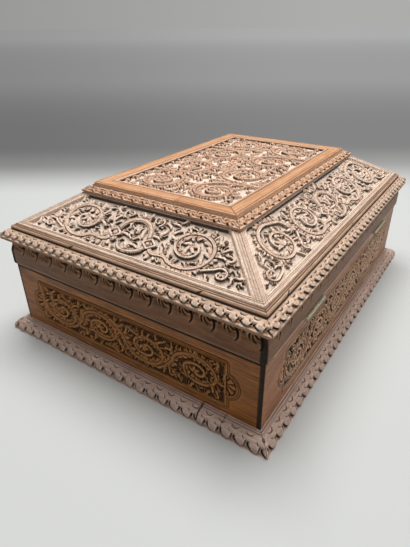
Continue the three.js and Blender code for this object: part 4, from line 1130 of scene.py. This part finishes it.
def top_panel_piece(woods):
    """The carved panel in the lid's top, with the tongue that holds it in its frame."""
    low, high = corners("top_panel")
    half_y = corners("top_rail_back")[0][1] - 0.3
    half_x = half_y + WALL_X - WALL_Y
    relief = carve_field(half_x, half_y)
    columns, rows = math.ceil(2 * half_x / GRID), math.ceil(2 * half_y / GRID)
    mesh, column, row = grid_mesh("carved_top_panel", columns, rows)
    x, y = half_x * (2 * column / columns - 1), half_y * (2 * row / rows - 1)
    layers = relief.layers(x, y)
    places = np.stack([x, y, high[2] - layers.pop("depth")], 1) * MM
    layers["stain"] = np.zeros(len(x))
    set_layers(mesh, places, layers)
    bm = bmesh.new()
    bm.from_mesh(mesh)
    ring = [edge for edge in bm.edges if edge.is_boundary]
    soiling_and_shade_layer = bm.verts.layers.float["hollow"]
    tongue = (high[0] / half_x, high[1] / half_y)
    back = (1 / tongue[0], 1 / tongue[1])
    foot, top = low[2] + TONGUE_FOOT, low[2] + TONGUE_TOP
    for wide, deep, height in ((1, 1, top), (*tongue, top), (1, 1, foot), (*back, foot), (1, 1, low[2])):
        made = bmesh.ops.extrude_edge_only(bm, edges=ring)["geom"]
        ring = [item for item in made if isinstance(item, bmesh.types.BMEdge)]
        for vertex in (item for item in made if isinstance(item, bmesh.types.BMVert)):
            vertex.co = (vertex.co.x * wide, vertex.co.y * deep, height * MM)
            vertex[soiling_and_shade_layer] = INSIDE_AGE
    bm.to_mesh(mesh)
    bm.free()
    closed(mesh)
    finish_piece(mesh, woods["field", "X"], "lid", "top_panel")


def softened(node, material, body, width):
    """A plain node's own shape, with its sharp edges worn round."""
    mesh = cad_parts[node].data.copy()
    mesh.name = "worn_" + node
    mesh.materials.clear()
    bm = bmesh.new()
    bm.from_mesh(mesh)
    bmesh.ops.remove_doubles(bm, verts=bm.verts, dist=1e-5)
    bmesh.ops.dissolve_limit(bm, angle_limit=0.01, verts=bm.verts, edges=bm.edges)
    sharp = [edge for edge in bm.edges if edge.is_manifold and edge.calc_face_angle() > 0.7]
    bmesh.ops.bevel(bm, geom=sharp, offset=width * MM, segments=2, profile=0.5, affect="EDGES", material=-1)
    bmesh.ops.recalc_face_normals(bm, faces=bm.faces)
    bm.to_mesh(mesh)
    bm.free()
    finish_piece(mesh, material, body, node, angle=35)


# Finishes


def colour(tone, share=1):
    """A paint-chart tone, each part from 0 to 255, darkened to a share of itself, as the shader takes it."""
    parts = [part * share for part in tone]
    return (*[((c / 255 + 0.055) / 1.055) ** 2.4 if c > 10 else c / 3295 for c in parts], 1)


class Shader:
    """A node tree, built up node by node."""

    def __init__(self, tree):
        self.nodes = tree.nodes
        self.links = tree.links

    def put(self, socket, value):
        if isinstance(value, bpy.types.NodeSocket):
            self.links.new(value, socket)
        else:
            socket.default_value = value

    def add(self, kind, inputs=(), **settings):
        """The outputs of a new node, whose inputs are given by name or by number."""
        made = self.nodes.new("ShaderNode" + kind)
        for key, value in settings.items():
            setattr(made, key, value)
        for key, value in dict(inputs).items():
            self.put(made.inputs[key], value)
        return made.outputs

    def band(self, value, low, high, first=0.0, last=1.0, kind="SMOOTHSTEP"):
        """Turns value from low to high into first to last."""
        return self.add("MapRange", enumerate((value, low, high, first, last)), interpolation_type=kind)[0]

    def reckon(self, kind, first, second=0):
        clamp = kind in ("MULTIPLY", "MAXIMUM")
        return self.add("Math", enumerate((first, second)), operation=kind, use_clamp=clamp)[0]

    def times(self, first, second):
        return self.reckon("MULTIPLY", first, second)

    def mix(self, share, first, second):
        return self.add("Mix", {0: share, 6: first, 7: second}, data_type="RGBA")[2]

    def along(self, places, way):
        """How far places lie along a level direction."""
        return self.add("VectorMath", {0: places, 1: (*way, 0)}, operation="DOT_PRODUCT")["Value"]

    def seen_straight(self):
        """1 for what the camera, a mirror or a glass sees, and 0 for light on its way to something else."""
        rays = self.add("LightPath")
        seen = rays["Is Camera Ray"]
        for kind in ("Is Glossy Ray", "Is Transmission Ray"):
            seen = self.reckon("MAXIMUM", seen, rays[kind])
        return seen


class Finish(Shader):
    """One material."""

    def __init__(self, name):
        self.material = bpy.data.materials.new(name)
        self.material.use_nodes = True
        super().__init__(self.material.node_tree)
        self.surface = self.nodes["Principled BSDF"]
        self.places = self.add("TexCoord")["Object"]

    def noise(self, size, stretch=(1, 1, 1), detail=5, rough=0.55, twist=0.0):
        """Cloudy noise whose clouds are about size millimetres, times stretch."""
        scale = [1 / (size * MM * s) for s in stretch]
        places = self.add("Mapping", {"Vector": self.places, "Scale": scale})[0]
        settings = {"Vector": places, "Scale": 1, "Detail": detail, "Roughness": rough, "Distortion": twist}
        return self.add("TexNoise", settings)["Fac"]

    def layer(self, name):
        return self.add("Attribute", attribute_name=name)["Fac"]

    def shaded(self, base, roughness, *heights):
        """Sets the colour and roughness, and stacks bumps, each a height from 0 to 1 and its rise in millimetres."""
        inputs = {}
        for height, rise in heights:
            inputs |= {"Distance": rise * MM, "Height": height}
            inputs = {"Normal": self.add("Bump", inputs)["Normal"]}
        for key, value in {"Base Color": base, "Roughness": roughness, **inputs}.items():
            self.put(self.surface.inputs[key], value)
        return self.material


def grain_of(finish, axis, length=26):
    """Fine streaks, broad streaks and pores that run along one axis."""
    def stretch(amount):
        return [amount if letter == axis else 1 for letter in "XYZ"]
    fine = finish.noise(0.7, stretch(length), 6, 0.6)
    broad = finish.noise(5, stretch(9), 4, 0.6, 0.4)
    pores = finish.band(finish.noise(0.35, stretch(14), 2, 0.5), 0.58, 0.7)
    return fine, broad, pores


# For each kind of piece: the dark and the light of its streaks, the tone of its sunk ground and how much of it there
# is (dust, and on the slopes, border and field also painted sheen), and the pale colour of its worn crests and
# edges, which is also a painted highlight. The last two are how much is worn, and how dark the cuts are made with
# soiling and painted shade.
KINDS = {
    "end_wall": ((98, 52, 12), (184, 114, 42), (56, 32, 16), 0.8, (208, 150, 88), 0.8, 0.98),
    "long_wall": ((124, 72, 42), (196, 136, 96), (36, 24, 17), 0.9, (250, 216, 180), 0.9, 0.98),
    "plinth": ((158, 124, 106), (212, 182, 164), (146, 118, 100), 0.4, (236, 216, 202), 0.85, 0.96),
    "lid_rail": ((84, 44, 18), (144, 92, 46), (64, 40, 22), 0.4, (210, 166, 120), 0.8, 0.97),
    "cornice": ((144, 108, 82), (208, 174, 146), (160, 108, 54), 0.9, (250, 232, 214), 0.9, 0.96),
    "slope_bead": ((136, 94, 66), (194, 154, 122), (150, 116, 90), 0.4, (234, 206, 180), 0.8, 0.95),
    "slope": ((158, 124, 100), (216, 182, 156), (230, 212, 194), 0.95, (252, 230, 210), 0.8, 0.93),
    "top_border": ((156, 108, 76), (210, 164, 130), (214, 190, 166), 0.7, (234, 196, 162), 0.7, 0.95),
    "field": ((142, 94, 66), (200, 150, 116), (242, 224, 204), 0.9, (248, 216, 188), 0.7, 0.96),
}
VERDIGRIS = (150, 146, 124)


def wood(kind, axis):
    """Old waxed wood: streaked, paler with wear and painted highlight on crests and edges, dark in the cuts with
    soiling and painted shade, and dusted on the sunk ground, where the lid's upper pieces also get painted sheen.
    """
    dark, light, dust_and_sheen, dust_and_sheen_share, worn, wear_and_highlight_share, darkening = KINDS[kind]
    finish = Finish(kind + "_wood_" + axis)
    fine, broad, pores = grain_of(finish, axis)
    clouds = finish.noise(28, detail=5, rough=0.6)
    specks = finish.noise(1.3, detail=4, rough=0.7)
    ground = finish.layer("ground")
    base = finish.mix(finish.band(fine, 0.3, 0.7), colour(dark), colour(light))
    # The sunk ground is dusted; on the slopes, the border and the field its pale tone is also painted sheen.
    dust_and_sheen_mask = finish.times(ground, finish.band(specks, 0.36, 0.6, dust_and_sheen_share * 0.45, dust_and_sheen_share))
    # Pale wear on crests and edges, and a painted highlight.
    crest = finish.times(finish.layer("crest"), finish.band(specks, 0.35, 0.6, wear_and_highlight_share * 0.4, wear_and_highlight_share))
    # Soiling and painted shade, darkest in the cuts and along the seam.
    hollow = finish.band(finish.layer("hollow"), 0.18, 0.75)
    green = finish.times(finish.layer("stain"), finish.band(specks, 0.4, 0.62))
    for share, tone in (
        (finish.band(broad, 0.4, 0.75, 0, 0.6), colour(dark)),
        (finish.band(clouds, 0.45, 0.8, 0, 0.45), colour(light)),
        (dust_and_sheen_mask, colour(dust_and_sheen)),
        (crest, colour(worn)),
        (finish.times(pores, 0.5), colour(dark, 0.55)),
        (finish.times(hollow, darkening), colour(dark, 0.22)),
        (finish.times(green, 0.6), colour(VERDIGRIS)),
    ):
        base = finish.mix(share, base, tone)
    rough = finish.band(specks, 0.25, 0.75, 0.36, 0.56)
    rough = finish.reckon("ADD", rough, finish.times(finish.reckon("MAXIMUM", ground, hollow), 0.3))
    finish.put(finish.surface.inputs["Specular IOR Level"], 0.35)
    stipple = finish.times(ground, finish.noise(0.8, detail=2, rough=0.5))
    return finish.shaded(base, rough, (fine, 0.1), (pores, -0.06), (stipple, 0.7), (specks, 0.12))


def plain_wood(name, axis, dark, light, lines=()):
    """Uncarved wood, with the same streaks and a little soiling. lines is how far from the middle dark lines run."""
    finish = Finish(name + "_" + axis)
    fine, broad, pores = grain_of(finish, axis, 34)
    specks = finish.noise(2.4, detail=5, rough=0.7)
    base = finish.mix(finish.band(fine, 0.32, 0.68), colour(dark), colour(light))
    base = finish.mix(finish.band(broad, 0.45, 0.75, 0, 0.55), base, colour(dark))
    base = finish.mix(finish.times(pores, 0.45), base, colour(dark, 0.5))
    base = finish.mix(finish.band(specks, 0.6, 0.75, 0, 0.5), base, colour(dark, 0.6))
    place = finish.add("SeparateXYZ", {0: finish.places})["XY".index(axis) ^ 1]
    for line in lines:
        near = finish.reckon("SUBTRACT", finish.reckon("ABSOLUTE", place), line * MM)
        near = finish.reckon("ABSOLUTE", near)
        base = finish.mix(finish.band(near, 0.5 * MM, 0.2 * MM), base, colour(dark, 0.5))
    rough = finish.band(specks, 0.25, 0.75, 0.35, 0.55)
    return finish.shaded(base, rough, (fine, 0.1), (pores, -0.06), (specks, 0.15))


def old_brass(name, metal, green, green_share):
    """Brass gone dull, with verdigris in patches."""
    finish = Finish(name)
    clouds = finish.noise(3.2, detail=6, rough=0.65)
    specks = finish.noise(0.5, detail=4, rough=0.7)
    base = finish.mix(finish.band(specks, 0.4, 0.6), colour(metal), colour(metal, 0.6))
    crust = finish.band(clouds, 0.62 - green_share * 0.4, 0.72 - green_share * 0.3)
    crust_tone = finish.mix(finish.band(specks, 0.4, 0.65), colour(green), colour(green, 0.45))
    finish.put(finish.surface.inputs["Metallic"], finish.band(crust, 0, 1, 0.9, 0.05))
    rough = finish.reckon("ADD", finish.band(specks, 0.3, 0.7, 0.28, 0.45), finish.times(crust, 0.4))
    return finish.shaded(finish.mix(crust, base, crust_tone), rough, (crust, 0.12), (specks, 0.08))


# The box

WOODS = {(kind, axis): wood(kind, axis) for kind in KINDS for axis in "XY"}
INSIDE = plain_wood("inside_wood", "X", (96, 68, 46), (142, 108, 78))
RAIL_LINE = 1.7  # how far in from its edges a line runs along a top rail
RAIL_WOODS = {}
for axis, node in (("X", "top_rail_back"), ("Y", "top_rail_right")):
    low, high = (corner["XY".index(axis) ^ 1] for corner in corners(node))
    lines = (low + RAIL_LINE, high - RAIL_LINE)
    RAIL_WOODS[axis] = plain_wood("top_rail_wood", axis, (162, 108, 66), (214, 162, 116), lines)
# The hinge's verdigris is near white, which also stands in for the shine on its barrels: a painted highlight.
HINGE_BRASS = old_brass("hinge_brass", (250, 236, 196), (226, 224, 198), 0.42)
LOCK_BRASS = old_brass("lock_brass", (150, 120, 72), (98, 104, 80), 0.3)

for side_name in SIDES:
    wall_piece(side_name, WOODS)
    rail_piece(side_name, WOODS)
    lid_pieces(side_name, WOODS)
    plinth_pieces(side_name, WOODS)
top_panel_piece(WOODS)
softened("bottom_board", INSIDE, "base", 0.5)
for rail in ("right", "right_end", "back", "left", "front"):
    grain = "X" if rail in ("back", "front") else "Y"
    softened("top_rail_" + rail, RAIL_WOODS[grain], "lid", 0.6)
for node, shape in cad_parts.items():
    if "hinge" in node or "lock" in node or "link" in node or node == "keyhole_plate":
        shape.data.materials.clear()
        shape.data.materials.append(HINGE_BRASS if "hinge" in node else LOCK_BRASS)


# The studio

VIEW_FROM = Vector((354.4, 206.6, 249.8)) * MM
VIEW_TURN = math.radians(-146.03)
VIEW_DIP = math.radians(-29.64)
VIEW_ROLL = math.radians(-0.52)
AHEAD = (math.cos(VIEW_TURN), math.sin(VIEW_TURN))
ASIDE = (AHEAD[1], -AHEAD[0])
VIEW_BACK = 0.41  # metres from the camera to the middle of the box, over the floor
LENS = 28.62
FLOOR_HALF = 60  # metres
PAPER = (184, 185, 182)
PAPER_CURVE = (168, 168, 166)
PAPER_TONES = ((0.38, 0.66, 127), (0.8, 2.2, 150), (2.2, 12.0, 166))  # from and to, in metres, and how grey
PAPER_ENDS = (0.3, 0.5)  # where the plain paper has ended, in metres behind the box
WALL_TONE = (166, 166, 164)
WALL_SLANT = (-0.5, 0.25, 0.8, 1.1)  # from the left, where it is darker, to the right
ROOM_TONE = (236, 240, 248)
ROOM_STRENGTH = 0.2


def place_camera():
    """Looks along VIEW_TURN, round from +X, and down by VIEW_DIP."""
    flat = math.cos(VIEW_DIP)
    ahead = Vector((flat * AHEAD[0], flat * AHEAD[1], math.sin(VIEW_DIP)))
    right = ahead.cross(Vector((0, 0, 1))).normalized()
    above = right.cross(ahead)
    tilted = right * math.cos(VIEW_ROLL) + above * math.sin(VIEW_ROLL)
    raised = above * math.cos(VIEW_ROLL) - right * math.sin(VIEW_ROLL)
    camera = linked("camera", bpy.data.cameras.new("camera"))
    camera.matrix_world = Matrix((tilted, raised, -ahead)).transposed().to_4x4()
    camera.location = VIEW_FROM
    camera.data.lens = LENS
    camera.data.sensor_width = 36
    camera.data.clip_start = 0.01
    bpy.context.scene.camera = camera


def floor():
    """A flat sheet of pale paper, which the camera sees go grey behind the box."""
    finish = Finish("floor_paper")
    away = finish.along(finish.places, AHEAD)
    grey = colour(PAPER_CURVE)
    for low, high, tone in PAPER_TONES:
        grey = finish.mix(finish.band(away, low, high), grey, colour([tone] * 3))
    tilt = finish.reckon("DIVIDE", finish.along(finish.places, ASIDE), finish.reckon("ADD", away, VIEW_BACK))
    # Where the camera sees the paper behind the box it glows instead of taking light: its greys, darkest just behind
    # the box, lighter farther off and darker to the left, are a painted falloff of light.
    seen = finish.add("Emission", {"Color": grey, "Strength": finish.band(tilt, *WALL_SLANT)})[0]
    share = finish.times(finish.seen_straight(), finish.band(away, *PAPER_ENDS))
    finish.shaded(colour(PAPER), 0.8, (finish.noise(300, detail=2), 0.2))
    both = finish.add("MixShader", enumerate((share, finish.surface.outputs[0], seen)))[0]
    finish.put(finish.nodes["Material Output"].inputs["Surface"], both)
    mesh = flat_grid("floor", 1, 1, FLOOR_HALF)
    mesh.materials.append(finish.material)
    piece = linked("floor", mesh)


def soft_light(name, way, distance, size, power):
    """A large square lamp that shines on the box from the direction way. Sizes are metres."""
    lamp = bpy.data.lights.new(name, "AREA")
    lamp.shape = "SQUARE"
    lamp.size = size
    lamp.energy = power
    piece = linked(name, lamp)
    piece.location = Vector(way).normalized() * distance
    piece.rotation_euler = Vector(way).to_track_quat("Z", "Y").to_euler()


def room_light():
    """A pale room, which is grey where the camera sees it, with a painted falloff of light that leaves it darker to
    the left.
    """
    world = bpy.data.worlds.new("room")
    bpy.context.scene.world = world
    world.use_nodes = True
    room = Shader(world.node_tree)
    light = room.nodes["Background"]
    room.put(light.inputs["Color"], colour(ROOM_TONE))
    room.put(light.inputs["Strength"], ROOM_STRENGTH)
    slant = room.band(room.along(room.add("TexCoord")["Generated"], ASIDE), *WALL_SLANT, kind="LINEAR")
    seen = room.add("Background", {"Color": colour(WALL_TONE), "Strength": slant})[0]
    both = room.add("MixShader", enumerate((room.seen_straight(), light.outputs[0], seen)))[0]
    room.put(room.nodes["World Output"].inputs["Surface"], both)


place_camera()
floor()
room_light()
soft_light("key", (-0.16, -0.08, 1), 1.9, 1.3, 55)
soft_light("fill", (0.2, 1, 0.5), 2.0, 1.4, 4.4)
bpy.context.scene.view_settings.view_transform = "Standard"
